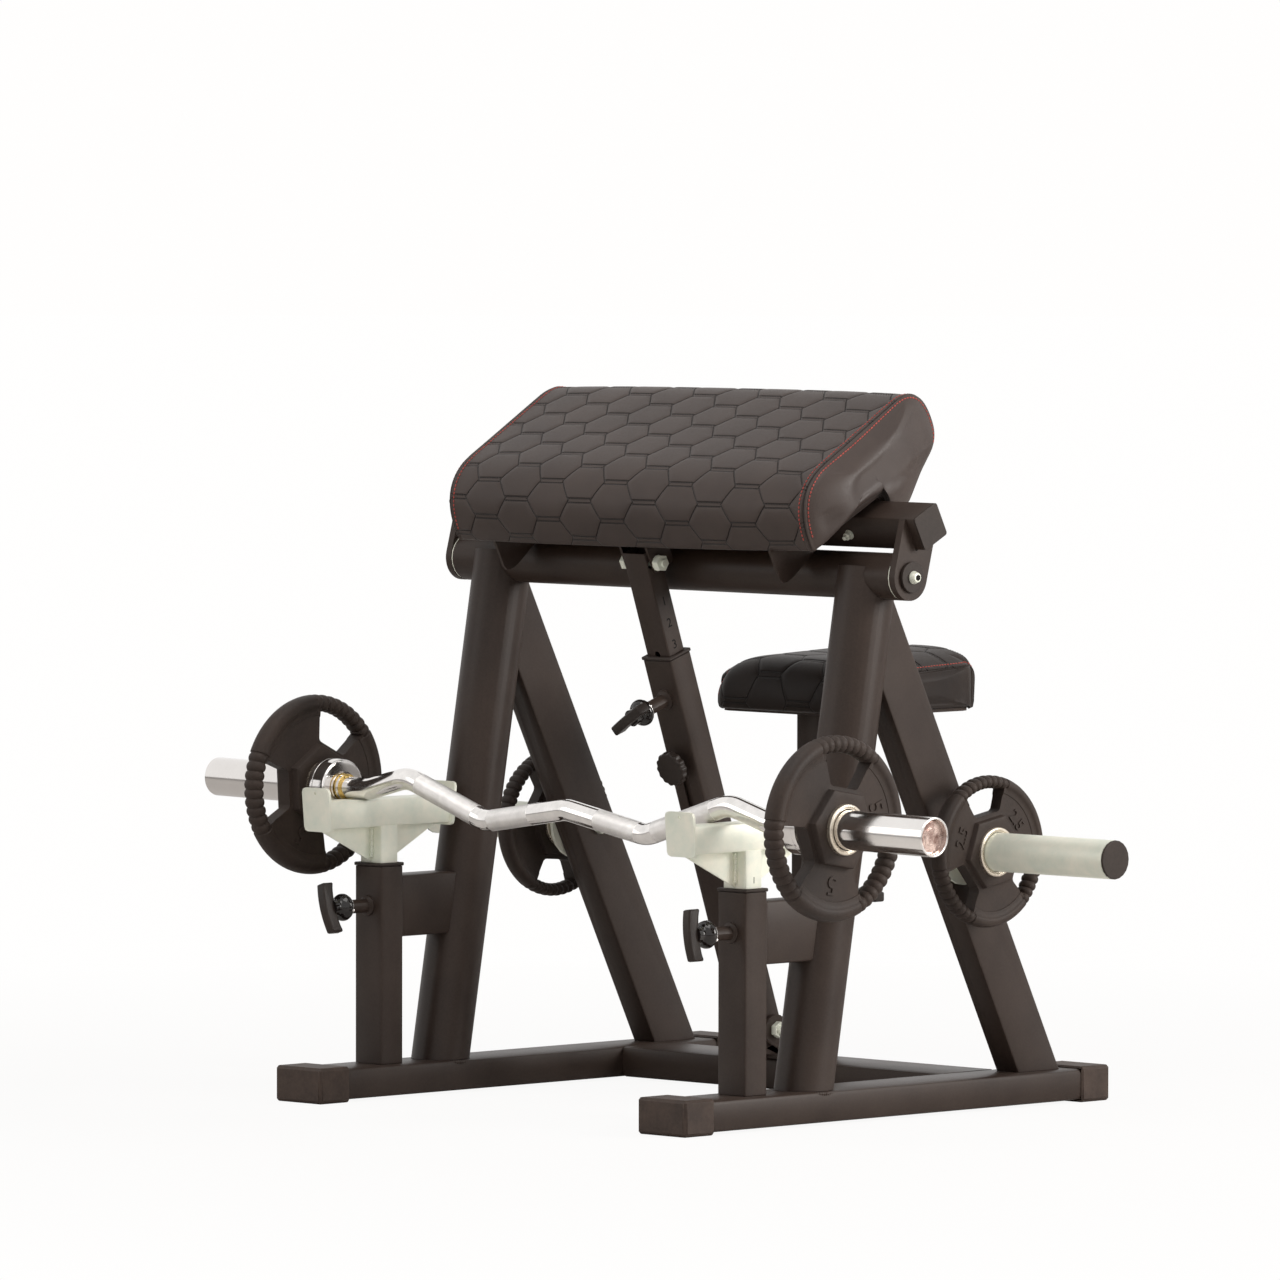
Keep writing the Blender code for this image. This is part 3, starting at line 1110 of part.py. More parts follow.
def make_rest(bench, side, hand):
    """A zinc cradle on its inner post: tube, two flared lips and two gussets."""
    rest = empty("rest_frame_" + hand, bench, (side * RAIL_X, POST_Y, 0.0))
    bottom = REST_BOTTOM
    middle_z = REST_BOTTOM + REST_HEIGHT / 2
    front, back = REST_FRONT - POST_Y, REST_BACK - POST_Y
    tube = box_tube("cradle", REST_WIDTH, REST_HEIGHT, FRAME_WALL, TUBE_CORNER, -back - LIP_HEIGHT / 2,
                    -front + LIP_HEIGHT / 2, rest, (0.0, 0.0, middle_z), ALONG_Y)
    lip_outline = rounded([
        (-LIP_WIDTH / 2, 0.0, LIP_CORNER), (LIP_WIDTH / 2, 0.0, LIP_CORNER),
        (LIP_WIDTH / 2, LIP_HEIGHT, LIP_CORNER), (-LIP_WIDTH / 2, LIP_HEIGHT, LIP_CORNER),
    ])
    lip_hole = circle(LIP_HOLE_RADIUS, 8, (0.0, LIP_HEIGHT - LIP_HOLE_DROP))
    pieces = []
    for end, edge in ((-1, front), (1, back)):
        lean = (math.pi / 2 - end * LIP_FLARE, 0.0, 0.0)
        foot = (0.0, edge, LIP_BOTTOM)
        near, far = sorted((0.0, -end * LIP_THICKNESS))
        pieces.append(slab("lip", [lip_outline, lip_hole], near, far, rest, foot, lean))
        near, far = sorted((-end * LIP_THICKNESS / 2, -end * LIP_HEIGHT * 2))
        boolean(tube, slab("lip_plane", [rectangle(0.2, 0.3)], near, far, rest, foot, lean))
    post = box_tube("inner_post", INNER_WIDTH, INNER_DEPTH, INNER_WALL, INNER_CORNER, INNER_BOTTOM,
                    bottom + FRAME_WALL / 2, rest)
    for index in range(3):
        place = (0.0, -INNER_DEPTH / 2, POST_PIN_Z - index * HOLE_PITCH)
        boolean(post, rod("index_hole", PIN_RADIUS + GAP, -2 * INNER_WALL, INNER_WALL, rest, place, ALONG_Y,
                          HOLE_ROUND))
    face = INNER_DEPTH / 2 - INNER_WALL / 2
    under = bottom + FRAME_WALL / 2
    for end, tip in ((-1, front + GUSSET_FRONT_INSET), (1, back - GUSSET_BACK_INSET)):
        outline = [(end * face, under), (tip, under), (tip, bottom - GUSSET_TIP), (end * face, GUSSET_BOTTOM)]
        pieces.append(slab("gusset", [outline], -GUSSET_THICKNESS / 2, GUSSET_THICKNESS / 2, rest,
                           rotation=ALONG_X))
    tube.name = "cradle_" + hand
    united(tube, post, *pieces)
    painted(boolean(tube, rod("vent", VENT_RADIUS, INNER_BOTTOM, middle_z, rest)), BRIGHT_ZINC)


# Curl bar, sleeves and weight discs

def bar_path():
    """The bar's centre line in its own frame, from one end to the other."""
    half = [
        (BAR_INSIDE_SLEEVE, 0.0, 0.0), (BAR_SHOULDER_X, 0.0, BAR_BEND), (BAR_PEAK_X, BAR_PEAK_RISE, BAR_BEND),
        (BAR_VALLEY_X, -BAR_VALLEY_DROP, BAR_BEND),
    ]
    mirrored = [(-x, z, radius) for x, z, radius in half]
    corners = half + [(0.0, -BAR_MIDDLE_DROP, BAR_BEND)] + mirrored[::-1]
    return rounded(corners, 3, closed=False)


def clearance_over(path, tilt, height, edge_start, edge_end):
    """Least distance from the tilted path to a rest's top, less the bar's radius."""
    least = 1.0
    cosine, sine = math.cos(tilt), math.sin(tilt)
    for (x0, z0), (x1, z1) in zip(path, path[1:]):
        for step in range(8):
            part = step / 8
            x, z = x0 + (x1 - x0) * part, z0 + (z1 - z0) * part
            world_x = BAR_X + x * cosine + z * sine
            world_z = height - x * sine + z * cosine
            aside = max(edge_start - world_x, world_x - edge_end, 0.0)
            least = min(least, math.hypot(aside, world_z - REST_TOP))
    return least - BAR_RADIUS


def resting_bar():
    """Tilt and height at which the bar lies a hair above both rests."""
    path = bar_path()
    inner, outer = RAIL_X - REST_WIDTH / 2, RAIL_X + REST_WIDTH / 2
    tilt, height = 0.0, REST_TOP + 2 * BAR_RADIUS
    for _ in range(60):
        left = clearance_over(path, tilt, height, -outer, -inner) - GAP
        right = clearance_over(path, tilt, height, inner, outer) - GAP
        height -= (left + right) / 2
        tilt += (right - left) / (2 * RAIL_X)
    return tilt, height


def middle_of_floor():
    """Where the middle of the whole object's bounding box lies in the bench frame."""
    tilt, height = resting_bar()
    right = BAR_X + SLEEVE_END * math.cos(tilt) + SLEEVE_RADIUS * math.sin(abs(tilt))
    left = -(PEG_END + GAP + PEG_CAP)
    front = BAR_Y - WEIGHT_5["radius"]
    back = SEAT_Y + SEAT_LENGTH / 2
    return (left + right) / 2, (front + back) / 2


def make_bar(bar):
    curve = bpy.data.curves.new("ez_bar", "CURVE")
    curve.dimensions = "3D"
    curve.bevel_depth = BAR_RADIUS
    curve.bevel_resolution = 2
    curve.use_fill_caps = True
    path = bar_path()
    spline = curve.splines.new("POLY")
    spline.points.add(len(path) - 1)
    for point, (x, z) in zip(spline.points, path):
        point.co = (x, 0.0, z, 1.0)
    shaft = curve_to_mesh(add("ez_bar", curve, bar))
    for side in (-1, 1):
        turn = (math.pi / 2, 0.0, side * math.pi / 2)
        ring = rod("ring", RING_RADIUS, RING_START, RING_START + RING_WIDTH, bar, rotation=turn, sides=ROUND)
        united(shaft, ring)
    painted(shaft, CHROME)


def make_sleeve(bar, side, hand):
    """A turning sleeve: inner flange, smooth barrel, and a recessed face at its outer end."""
    bore = BAR_RADIUS + GAP
    floor = BAR_INSIDE_SLEEVE + 0.002
    flange_end = SLEEVE_START + SLEEVE_FLANGE - GAP
    lip = SLEEVE_RADIUS - SLEEVE_LIP
    profile = [
        (0.0, SLEEVE_END - SLEEVE_RECESS), (lip, SLEEVE_END - SLEEVE_RECESS), (lip, SLEEVE_END),
        (SLEEVE_RADIUS, SLEEVE_END), (SLEEVE_RADIUS, flange_end), (SLEEVE_FLANGE_RADIUS, flange_end - 0.001),
        (SLEEVE_FLANGE_RADIUS, SLEEVE_START + 0.001), (SLEEVE_FLANGE_RADIUS - 0.002, SLEEVE_START),
        (bore, SLEEVE_START), (bore, floor), (0.0, floor),
    ]
    sleeve = turned("sleeve_" + hand, profile, bar, rotation=(math.pi / 2, 0.0, side * math.pi / 2))
    painted(sleeve, CHROME)


def window_outline(size):
    """One grip window: a straight inner edge, sides that point to the hub and an arc along the rim."""
    outer = size["radius"] - size["rim_width"]
    edge = size["window_inner"]
    half = edge * math.tan(WINDOW_SPREAD)
    middle = math.pi / 2
    rim = arc(outer, middle - WINDOW_SPREAD, middle + WINDOW_SPREAD, 5)
    return rounded([(-half, edge, 0.005), (half, edge, 0.005), (*rim[0], 0.006),
                    *[(x, y, 0.0) for x, y in rim[1:-1]], (*rim[-1], 0.006)], 2)


def make_weight(name, size, bore, parent, centre, side, turn):
    """A rubber disc with a round rim, a hexagonal boss, three windows and a steel hub."""
    radius, rim, web = size["radius"], size["rim"], size["web"]
    width = size["rim_width"]
    half_section = [
        (radius - width - 0.004, web), (radius - 0.90 * width, rim * 0.92), (radius - 0.45 * width, rim),
        (radius - 0.10 * width, rim * 0.62), (radius, rim * 0.18),
    ]
    profile = [(0.0, web), *half_section, *[(r, -z) for r, z in reversed(half_section)], (0.0, -web)]
    facing = (math.pi / 2, 0.0, side * math.pi / 2)
    place = Vector(centre)
    body = turned(name, profile, parent, place, facing, steps=DISC_ROUND)
    boss = rod("boss", size["boss_flats"] / math.sqrt(3), -size["boss"], size["boss"], parent, place,
               facing, 6)
    boss.data.transform(Matrix.Rotation(turn + math.pi / 6, 4, "Z"))
    hub = rod("hub", size["hub_radius"], -size["hub"], size["hub"], parent, place, facing, ROUND)
    united(body, boss, hub)
    for index in range(3):
        window = slab("window", [window_outline(size)], -radius, radius, parent, place, facing)
        window.data.transform(Matrix.Rotation(turn + index * 2 * math.pi / 3, 4, "Z"))
        boolean(body, window)
    painted(boolean(body, rod("bore", bore, -radius, radius, parent, place, facing, ROUND)), BLACK_RUBBER)


def make_bar_and_discs(bench):
    tilt, height = resting_bar()
    bar = empty("bar_frame", bench, (BAR_X, BAR_Y, height), (0.0, tilt, 0.0))
    make_bar(bar)
    hub_centre = SLEEVE_START + SLEEVE_FLANGE + WEIGHT_5["hub"]
    for side, hand, turn, apart in zip((-1, 1), ("left", "right"), DISC_5_TURN, DISC_5_STAND_OFF):
        make_sleeve(bar, side, hand)
        make_weight("weight_5_" + hand, WEIGHT_5, SLEEVE_RADIUS + BORE_CLEARANCE, bar,
                    (side * (hub_centre + apart), 0.0, 0.0), side, turn)
    for side, hand, turn in zip((-1, 1), ("left", "right"), DISC_2_5_TURN):
        centre_x = DISC_2_5_START + WEIGHT_2_5["hub"]
        make_weight("weight_2_5_" + hand, WEIGHT_2_5, PEG_RADIUS + BORE_CLEARANCE, bench,
                    (side * centre_x, PEG_Y, PEG_Z), side, turn)


def main():
    start_scene()
    middle_x, middle_y = middle_of_floor()
    bench = empty("bench", None, (-middle_x, -middle_y, 0.0))
    strut = empty("strut_frame", bench, (0.0, STRUT_Y, STRUT_Z), (STRUT_LEAN, 0.0, 0.0))
    carriage = empty("carriage_frame", bench, (0.0, PIVOT_Y, PIVOT_Z), (PAD_TILT, 0.0, 0.0))
    make_base(bench)
    make_legs(bench)
    make_pivot_hardware(bench)
    make_posts(bench)
    make_storage_pegs(bench)
    make_strut_base(bench, strut)
    make_strut_inner(strut)
    make_knob(strut)
    make_pull_pins(bench, strut)
    make_carriage(carriage)
    make_pivot_plates(carriage)
    make_pad_arms(carriage)
    make_clevis(carriage)
    make_board(carriage)
    make_arm_pad(carriage)
    make_seat(bench)
    for side, hand in ((-1, "left"), (1, "right")):
        make_rest(bench, side, hand)
    make_bar_and_discs(bench)


main()
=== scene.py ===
# %% [markdown]
# # A preacher curl bench
# The real bench is welded from steel tube, painted black with a fine powder coat, and carries a quilted
# arm pad, a small quilted seat, bright bar rests, a curl bar and rubber discs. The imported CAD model
# gives the frame and all its places. This lesson dresses it: tubes keep their CAD shape and get a
# finish, and whatever is soft, moulded, turned or knurled is worked out again as a fine surface.

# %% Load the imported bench
import math

import bpy
import numpy as np
from mathutils import Euler, Matrix, Vector


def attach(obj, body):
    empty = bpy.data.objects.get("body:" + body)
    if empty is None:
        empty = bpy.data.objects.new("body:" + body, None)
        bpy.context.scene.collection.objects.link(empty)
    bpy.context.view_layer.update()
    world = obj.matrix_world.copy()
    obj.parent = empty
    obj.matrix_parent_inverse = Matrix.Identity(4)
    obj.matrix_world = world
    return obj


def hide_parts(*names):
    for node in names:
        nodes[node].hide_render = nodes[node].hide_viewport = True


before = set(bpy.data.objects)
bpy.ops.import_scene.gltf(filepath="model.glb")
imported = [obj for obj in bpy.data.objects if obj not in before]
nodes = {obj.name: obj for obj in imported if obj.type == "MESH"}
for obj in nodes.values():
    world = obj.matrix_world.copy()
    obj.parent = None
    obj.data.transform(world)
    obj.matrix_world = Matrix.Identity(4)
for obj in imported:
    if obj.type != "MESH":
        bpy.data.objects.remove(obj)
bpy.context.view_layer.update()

# %% [markdown]
# ## Places
# Every piece is drawn in the simple axes of what carries it: the bench, the tilting carriage, the
# leaning strut, or the bar in its rests. A place is a 4 by 4 matrix, and placing a piece is one
# multiplication of its whole array of points.

# %% Frames of the bench, the carriage, the strut and the bar
def place(origin=(0, 0, 0), turn=(0, 0, 0), inside=np.eye(4)):
    """Matrix of a frame at origin, turned about x, then y, then z, inside another frame."""
    return inside @ np.array(Matrix.Translation(origin) @ Euler(turn).to_matrix().to_4x4())


def placed(points, frame_matrix):
    """Points carried into the row frame: rotation times each point, plus the origin."""
    return points @ frame_matrix[:3, :3].T + frame_matrix[:3, 3]


PIVOT_Y, PIVOT_Z = -0.021, 0.692         # line of the crossbar, on which the carriage tilts
BENCH = place((-0.042491, -0.00625, 0.0))
CARRIAGE = place((0.0, PIVOT_Y, PIVOT_Z), (math.radians(27.0), 0.0, 0.0), BENCH)
PAD = place((0.0011, 0.0, 0.0), (0.0, 0.0, 0.0165), CARRIAGE)        # about one degree askew
STRUT = place((0.0, 0.121, 0.087), (math.radians(19.16), 0.0, 0.0), BENCH)
BAR = place((0.055, -0.286, 0.3972338), (0.0, 0.0137194, 0.0), BENCH)
RAIL_X = 0.330                           # from the middle of the bench to each rail's
TUBE_FACE = 0.02005                      # a hair outside the face of a 40 mm tube
print("carriage pivot at", placed(np.zeros(3), CARRIAGE).round(4))

# %% [markdown]
# ## From arrays to meshes
# A surface here is a grid of points with rows and columns. Four neighbours make one face, so the
# faces are index sums and need no loop. A shell is a tuple of points, four-sided faces and
# three-sided faces. Its enclosed volume tells which way it faces: where the sum of the little
# tetrahedra to its middle is negative, every face is turned round.

# %% Unit vectors, lengths along a line and turns
def unit(vectors):
    """The same vectors at length one."""
    return vectors / (np.linalg.norm(vectors, axis=-1, keepdims=True) + 1e-12)


def run_along(line):
    """Length of a line of points from its first point to each of them."""
    return np.concatenate([[0.0], np.cumsum(np.linalg.norm(np.diff(line, axis=0), axis=1))])


def points_at(line, run, lengths):
    """Points of a line at the given lengths, where run is its run_along."""
    return np.stack([np.interp(lengths, run, axis) for axis in line.T], -1)


def full_turn(sides):
    """Even angles round a circle."""
    return np.linspace(0.0, 2 * math.pi, sides, endpoint=False)


# %% Faces of a grid and closed tubes
def grid_faces(rows, columns, wrap_rows=False, wrap_columns=False):
    """Faces between neighbouring points of a grid whose points are numbered row by row."""
    i = np.arange(rows if wrap_rows else rows - 1)[:, None]
    j = np.arange(columns if wrap_columns else columns - 1)[None, :]
    ahead, right = (i + 1) % rows, (j + 1) % columns
    corners = [i * columns + j, i * columns + right, ahead * columns + right, ahead * columns + j]
    return np.stack(corners, -1).reshape(-1, 4)


def tube(grid):
    """A closed shell from rings of points: sides between the rings and a fan over each end ring."""
    rings, columns = grid.shape[:2]
    points = np.concatenate([grid.reshape(-1, 3), grid[:1].mean(1), grid[-1:].mean(1)])
    j = np.arange(columns)
    k = (j + 1) % columns
    last = (rings - 1) * columns
    first_fan = np.stack([k, j, np.full(columns, rings * columns)], -1)
    last_fan = np.stack([last + j, last + k, np.full(columns, rings * columns + 1)], -1)
    return points, grid_faces(rings, columns, wrap_columns=True), np.concatenate([first_fan, last_fan])


def outward(shell):
    """The same shell with its faces outwards, by the sign of the volume that it encloses."""
    points, quads, triangles = shell
    thirds = np.concatenate([quads[:, [0, 1, 2]], quads[:, [0, 2, 3]], triangles])
    a, b, c = (points[thirds[:, k]] - points.mean(0) for k in range(3))
    volume = np.einsum("ij,ij->i", a, np.cross(b, c)).sum()
    return shell if volume > 0 else (points, quads[:, ::-1], triangles[:, ::-1])


def joined(shells):
    """Several shells as one."""
    shells = list(shells)
    start = np.cumsum([0] + [len(shell[0]) for shell in shells[:-1]])
    return (np.concatenate([shell[0] for shell in shells]),
            np.concatenate([shell[1] + s for shell, s in zip(shells, start)]),
            np.concatenate([shell[2] + s for shell, s in zip(shells, start)]))


NO_QUADS = np.zeros((0, 4), int)
NO_TRIANGLES = np.zeros((0, 3), int)
triangle_count = {}


# %% Make a piece of the bench from shells
def piece(name, shells, body, look, replaces=(), sharp=34.0, uv=None):
    """One mesh object from a list of shells, smooth except along edges sharper than the given angle."""
    points, quads, triangles = joined(outward(shell) for shell in shells)
    corners = np.concatenate([quads.ravel(), triangles.ravel()])
    mesh = bpy.data.meshes.new(name)
    mesh.vertices.add(len(points))
    mesh.vertices.foreach_set("co", points.astype(np.float32).ravel())
    mesh.loops.add(len(corners))
    mesh.loops.foreach_set("vertex_index", corners.astype(np.int32))
    sizes = np.concatenate([np.full(len(quads), 4), np.full(len(triangles), 3)])
    mesh.polygons.add(len(sizes))
    mesh.polygons.foreach_set("loop_start", (np.cumsum(sizes) - sizes).astype(np.int32))
    mesh.polygons.foreach_set("use_smooth", np.ones(len(sizes), bool))
    if uv is not None:
        layer = mesh.uv_layers.new(name="along")
        layer.data.foreach_set("uv", uv[corners].astype(np.float32).ravel())
    mesh.update(calc_edges=True)
    mesh.validate()
    mesh.set_sharp_from_angle(angle=math.radians(sharp))
    mesh.materials.append(look)
    obj = bpy.data.objects.new(name, mesh)
    bpy.context.scene.collection.objects.link(obj)
    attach(obj, body)
    if replaces:
        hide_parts(*replaces)
    triangle_count[name] = 2 * len(quads) + len(triangles)
    return obj

# %% [markdown]
# ## Outlines and sections
# Moulded and machined pieces have eased corners. A corner is replaced by a short curve that blends
# the two lines: the weights (1-t)^2, 2t(1-t) and t^2 pull it from one side, to the corner, to the
# other side. All corners are worked out at once.

# %% Eased outlines, lathe, plate and sweep
def corner_curve(start, corner, end, steps):
    """Many corners at once, each as steps + 1 points from its start to its end."""
    t = np.linspace(0.0, 1.0, steps + 1)[None, :, None]
    return (1 - t) ** 2 * start[:, None] + 2 * t * (1 - t) * corner[:, None] + t ** 2 * end[:, None]


def eased(corners, closed=True, steps=4):
    """Outline from (x, y, reach) corners; each corner becomes a curve that starts reach before it.

    Where two reaches are longer than the side between them, they share it in proportion.
    """
    corners = np.array(corners, float)
    point, reach = corners[:, :2], corners[:, 2:] + 1e-9
    back, ahead = np.roll(point, 1, 0) - point, np.roll(point, -1, 0) - point
    back_length = np.linalg.norm(back, axis=1, keepdims=True) + 1e-12
    ahead_length = np.linalg.norm(ahead, axis=1, keepdims=True) + 1e-12
    back_share = 0.98 * back_length / (reach + np.roll(reach, 1, 0))
    ahead_share = 0.98 * ahead_length / (reach + np.roll(reach, -1, 0))
    start = point + back / back_length * reach * np.minimum(1.0, back_share)
    end = point + ahead / ahead_length * reach * np.minimum(1.0, ahead_share)
    curve = corner_curve(start, point, end, steps)
    if not closed:
        curve[0], curve[-1] = point[0], point[-1]
    curve = curve.reshape(-1, 2)
    gap = np.linalg.norm(np.diff(curve, axis=0, append=curve[:1]), axis=1)
    keep = gap > 1e-7
    if not closed:
        keep[-1] = True
    return curve[keep]


def turned(radius, height, sides):
    """Rings of points round the z axis; a ring has one radius, or one for each of its points."""
    turn = full_turn(sides)
    radius = np.broadcast_to(radius, (len(height), sides))
    return np.stack([radius * np.cos(turn), radius * np.sin(turn),
                     np.broadcast_to(height[:, None], radius.shape)], -1)


def lathe(corners, sides):
    """A turned shell: (radius, z, reach) corners eased, then carried round the z axis."""
    profile = eased(corners, closed=False)
    return tube(turned(profile[:, :1], profile[:, 1], sides))


def outline_normals(outline):
    """Unit normals of a closed outline that runs anticlockwise, from its neighbours' difference."""
    along = np.roll(outline, -1, 0) - np.roll(outline, 1, 0)
    return unit(np.stack([along[:, 1], -along[:, 0]], -1))


def plate(outline, low, high, edge, steps=3):
    """A flat piece between two heights whose rims are rounded by a quarter circle of radius edge."""
    x, y = outline.T
    if (x * np.roll(y, -1) - np.roll(x, -1) * y).sum() < 0:
        outline = outline[::-1]
    turn = np.linspace(0.0, math.pi / 2, steps + 1)
    inset = np.concatenate([1 - np.sin(turn), (1 - np.sin(turn))[::-1]]) * edge
    height = np.concatenate([low + edge * (1 - np.cos(turn)), (high - edge * (1 - np.cos(turn)))[::-1]])
    rings = outline[None] - outline_normals(outline)[None] * inset[:, None, None]
    z = np.broadcast_to(height[:, None, None], rings[..., :1].shape)
    return tube(np.concatenate([rings, z], -1))


def sweep(path, section, up=(0.0, 0.0, 1.0), scale=None):
    """Rings of a section carried along a path; its x points to the side and its y along up."""
    path = np.asarray(path, float)
    tangent = unit(np.gradient(path, axis=0))
    side = unit(np.cross(tangent, np.broadcast_to(up, path.shape)))
    top = np.cross(side, tangent)
    size = np.ones(len(path)) if scale is None else scale
    offset = side[:, None] * section[None, :, :1] + top[:, None] * section[None, :, 1:]
    return path[:, None] + offset * size[:, None, None]


def circle(radius, sides):
    """Points round a circle."""
    turn = full_turn(sides)
    return radius * np.stack([np.cos(turn), np.sin(turn)], -1)


def moved(shell, frame_matrix):
    """A shell carried into a frame."""
    return placed(shell[0], frame_matrix), shell[1], shell[2]

# %% [markdown]
# ## Finishes
# A finish is a small graph of nodes: noise in Object coordinates, in metres, so that a grain of half
# a millimetre is half a millimetre on every piece. The noise drives the bump, shifts the roughness
# and blends two close colours. Colours are written as they look in daylight, 0 to 255, and turned
# into the linear values that the shader takes.

# %% Colour and node helpers
def tone(red, green, blue):
    """Linear colour from a display colour: ((c + 0.055) / 1.055) to the power 2.4 above 0.04."""
    c = np.array([red, green, blue]) / 255.0
    linear = np.where(c <= 0.04045, c / 12.92, ((c + 0.055) / 1.055) ** 2.4)
    return (*linear.tolist(), 1.0)


class Graph:
    """Short names for adding nodes to one material and joining them."""

    def __init__(self, name):
        self.material = bpy.data.materials.new(name)
        self.material.use_nodes = True
        self.tree = self.material.node_tree
        self.shader = self.tree.nodes["Principled BSDF"]
        self.coordinate = self.add("ShaderNodeTexCoord").outputs["Object"]

    def add(self, kind, **settings):
        node = self.tree.nodes.new(kind)
        for key, value in settings.items():
            setattr(node, key, value)
        return node

    def link(self, output, socket):
        self.tree.links.new(output, socket)

    def put(self, node, **values):
        """Set or link inputs by name; underscores stand for spaces."""
        for key, value in values.items():
            socket = node.inputs[key.replace("_", " ")]
            if isinstance(value, bpy.types.NodeSocket):
                self.link(value, socket)
            else:
                socket.default_value = value
        return node

    def maths(self, operation, a, b=None):
        node = self.add("ShaderNodeMath", operation=operation)
        for index, value in enumerate((a, b)):
            if isinstance(value, bpy.types.NodeSocket):
                self.link(value, node.inputs[index])
            elif value is not None:
                node.inputs[index].default_value = value
        return node.outputs[0]

    def weighted(self, first, first_share, second, second_share):
        """The sum of two values, each times its share."""
        return self.maths("ADD", self.maths("MULTIPLY", first, first_share),
                          self.maths("MULTIPLY", second, second_share))

    def stretched(self, scale):
        node = self.add("ShaderNodeMapping")
        self.link(self.coordinate, node.inputs["Vector"])
        node.inputs["Scale"].default_value = scale
        return node.outputs["Vector"]

    def noise(self, scale, detail=3.0, roughness=0.5, coordinate=None):
        node = self.add("ShaderNodeTexNoise")
        self.put(node, Vector=coordinate or self.coordinate, Scale=scale, Detail=detail,
                 Roughness=roughness)
        return node.outputs["Fac"]

    def cells(self, scale):
        node = self.add("ShaderNodeTexVoronoi", feature="SMOOTH_F1")
        self.put(node, Vector=self.coordinate, Scale=scale)
        return node.outputs["Distance"]

    def between(self, value, low, high, to_low=0.0, to_high=1.0):
        node = self.add("ShaderNodeMapRange")
        self.link(value, node.inputs["Value"])
        sockets = ("From Min", "From Max", "To Min", "To Max")
        for socket, number in zip(sockets, (low, high, to_low, to_high)):
            node.inputs[socket].default_value = number
        return node.outputs["Result"]

    def blend(self, amount, first, second):
        node = self.add("ShaderNodeMix", data_type="RGBA")
        self.link(amount, node.inputs["Factor"])
        for index, value in ((6, first), (7, second)):
            if isinstance(value, bpy.types.NodeSocket):
                self.link(value, node.inputs[index])
            else:
                node.inputs[index].default_value = value
        return node.outputs[2]

    def bump(self, height, strength, distance, below=None):
        node = self.add("ShaderNodeBump")
        self.put(node, Height=height, Strength=strength, Distance=distance)
        if below is not None:
            self.link(below, node.inputs["Normal"])
        return node.outputs["Normal"]


def coated(name, light, dark, rough=(0.45, 0.6), grain=900.0, depth=0.00012, blotch=9.0, metal=0.0,
           gloss=0.5, streak=None):
    """A plain coat: fine grain as bump, slow blotches in the colour, and roughness that follows both."""
    g = Graph(name)
    where = g.stretched(streak) if streak else g.coordinate
    fine = g.noise(grain, 2.0, 0.6, where)
    slow = g.noise(blotch, 4.0, 0.55)
    speck = g.noise(grain * 0.31, 2.0, 0.7, where)
    amount = g.between(g.weighted(slow, 0.7, speck, 0.3), 0.35, 0.65)
    g.put(g.shader, Base_Color=g.blend(amount, tone(*dark), tone(*light)), Metallic=metal,
          Roughness=g.between(g.weighted(slow, 0.5, fine, 0.5), 0.3, 0.7, *rough),
          Normal=g.bump(fine, 0.6, depth), Specular_IOR_Level=gloss)
    return g.material

# %% [markdown]
# The tubes are powder coated: the powder melts into a skin with a fine orange peel, and its gloss is
# low. The moulded plastic is smoother and shinier, the disc rubber has a sandy skin, the boots are
# plain dull rubber.

# %% Paint, rubber and plastic
black_paint = coated("black powder coat", (62, 51, 45), (48, 38, 33), (0.36, 0.50), 1100.0, 0.00010,
                     gloss=0.25)
collar_plastic = coated("collar plastic", (56, 47, 42), (40, 33, 29), (0.42, 0.58), 700.0, 0.00006,
                        gloss=0.25)
handle_plastic = coated("handle plastic", (56, 47, 42), (36, 30, 27), (0.32, 0.48), 800.0, 0.00006,
                        gloss=0.25)
polished_plastic = coated("polished plastic", (36, 30, 28), (22, 19, 18), (0.06, 0.12), 60.0, 0.00001)
disc_rubber = coated("disc rubber", (60, 49, 43), (42, 34, 30), (0.48, 0.64), 900.0, 0.00045, 14.0,
                     gloss=0.25)
boot_rubber = coated("boot rubber", (78, 65, 58), (54, 44, 39), (0.5, 0.66), 600.0, 0.00018, 20.0, gloss=0.25)
# This near-black finish is ink for the printed numbers and painted shade in the pivot pins' hex sockets.
ink_and_socket_shade = coated("number ink and painted socket shade", (12, 10, 9), (8, 7, 6), (0.5, 0.6), 900.0, 0.00001, gloss=0.1)
print("black finishes:", black_paint.name, disc_rubber.name, boot_rubber.name)

# %% [markdown]
# Zinc plating shows as pale metal with a mottled greenish and straw bloom. Chrome is nearly white and
# sharp, with faint turning lines round the bar. The hub rings are plain turned steel and the two
# rings on the bar are brass.

# %% Metals
zinc = coated("zinc plate", (248, 247, 232), (230, 236, 222), (0.34, 0.5), 260.0, 0.00006, 26.0, 0.15)
chrome = coated("hard chrome", (238, 235, 232), (222, 218, 215), (0.07, 0.16), 900.0, 0.00001, 6.0, 1.0,
                streak=(6.0, 1.0, 1.0))
hub_steel = coated("turned steel", (224, 214, 198), (196, 186, 170), (0.22, 0.34), 500.0, 0.00003, 30.0, 0.9)
brass = coated("brass", (226, 198, 128), (204, 170, 98), (0.2, 0.34), 500.0, 0.00003, 30.0, 0.9)
copper = coated("coppered face", (222, 200, 190), (120, 86, 76), (0.2, 0.34), 500.0, 0.00003, 55.0, 0.8)

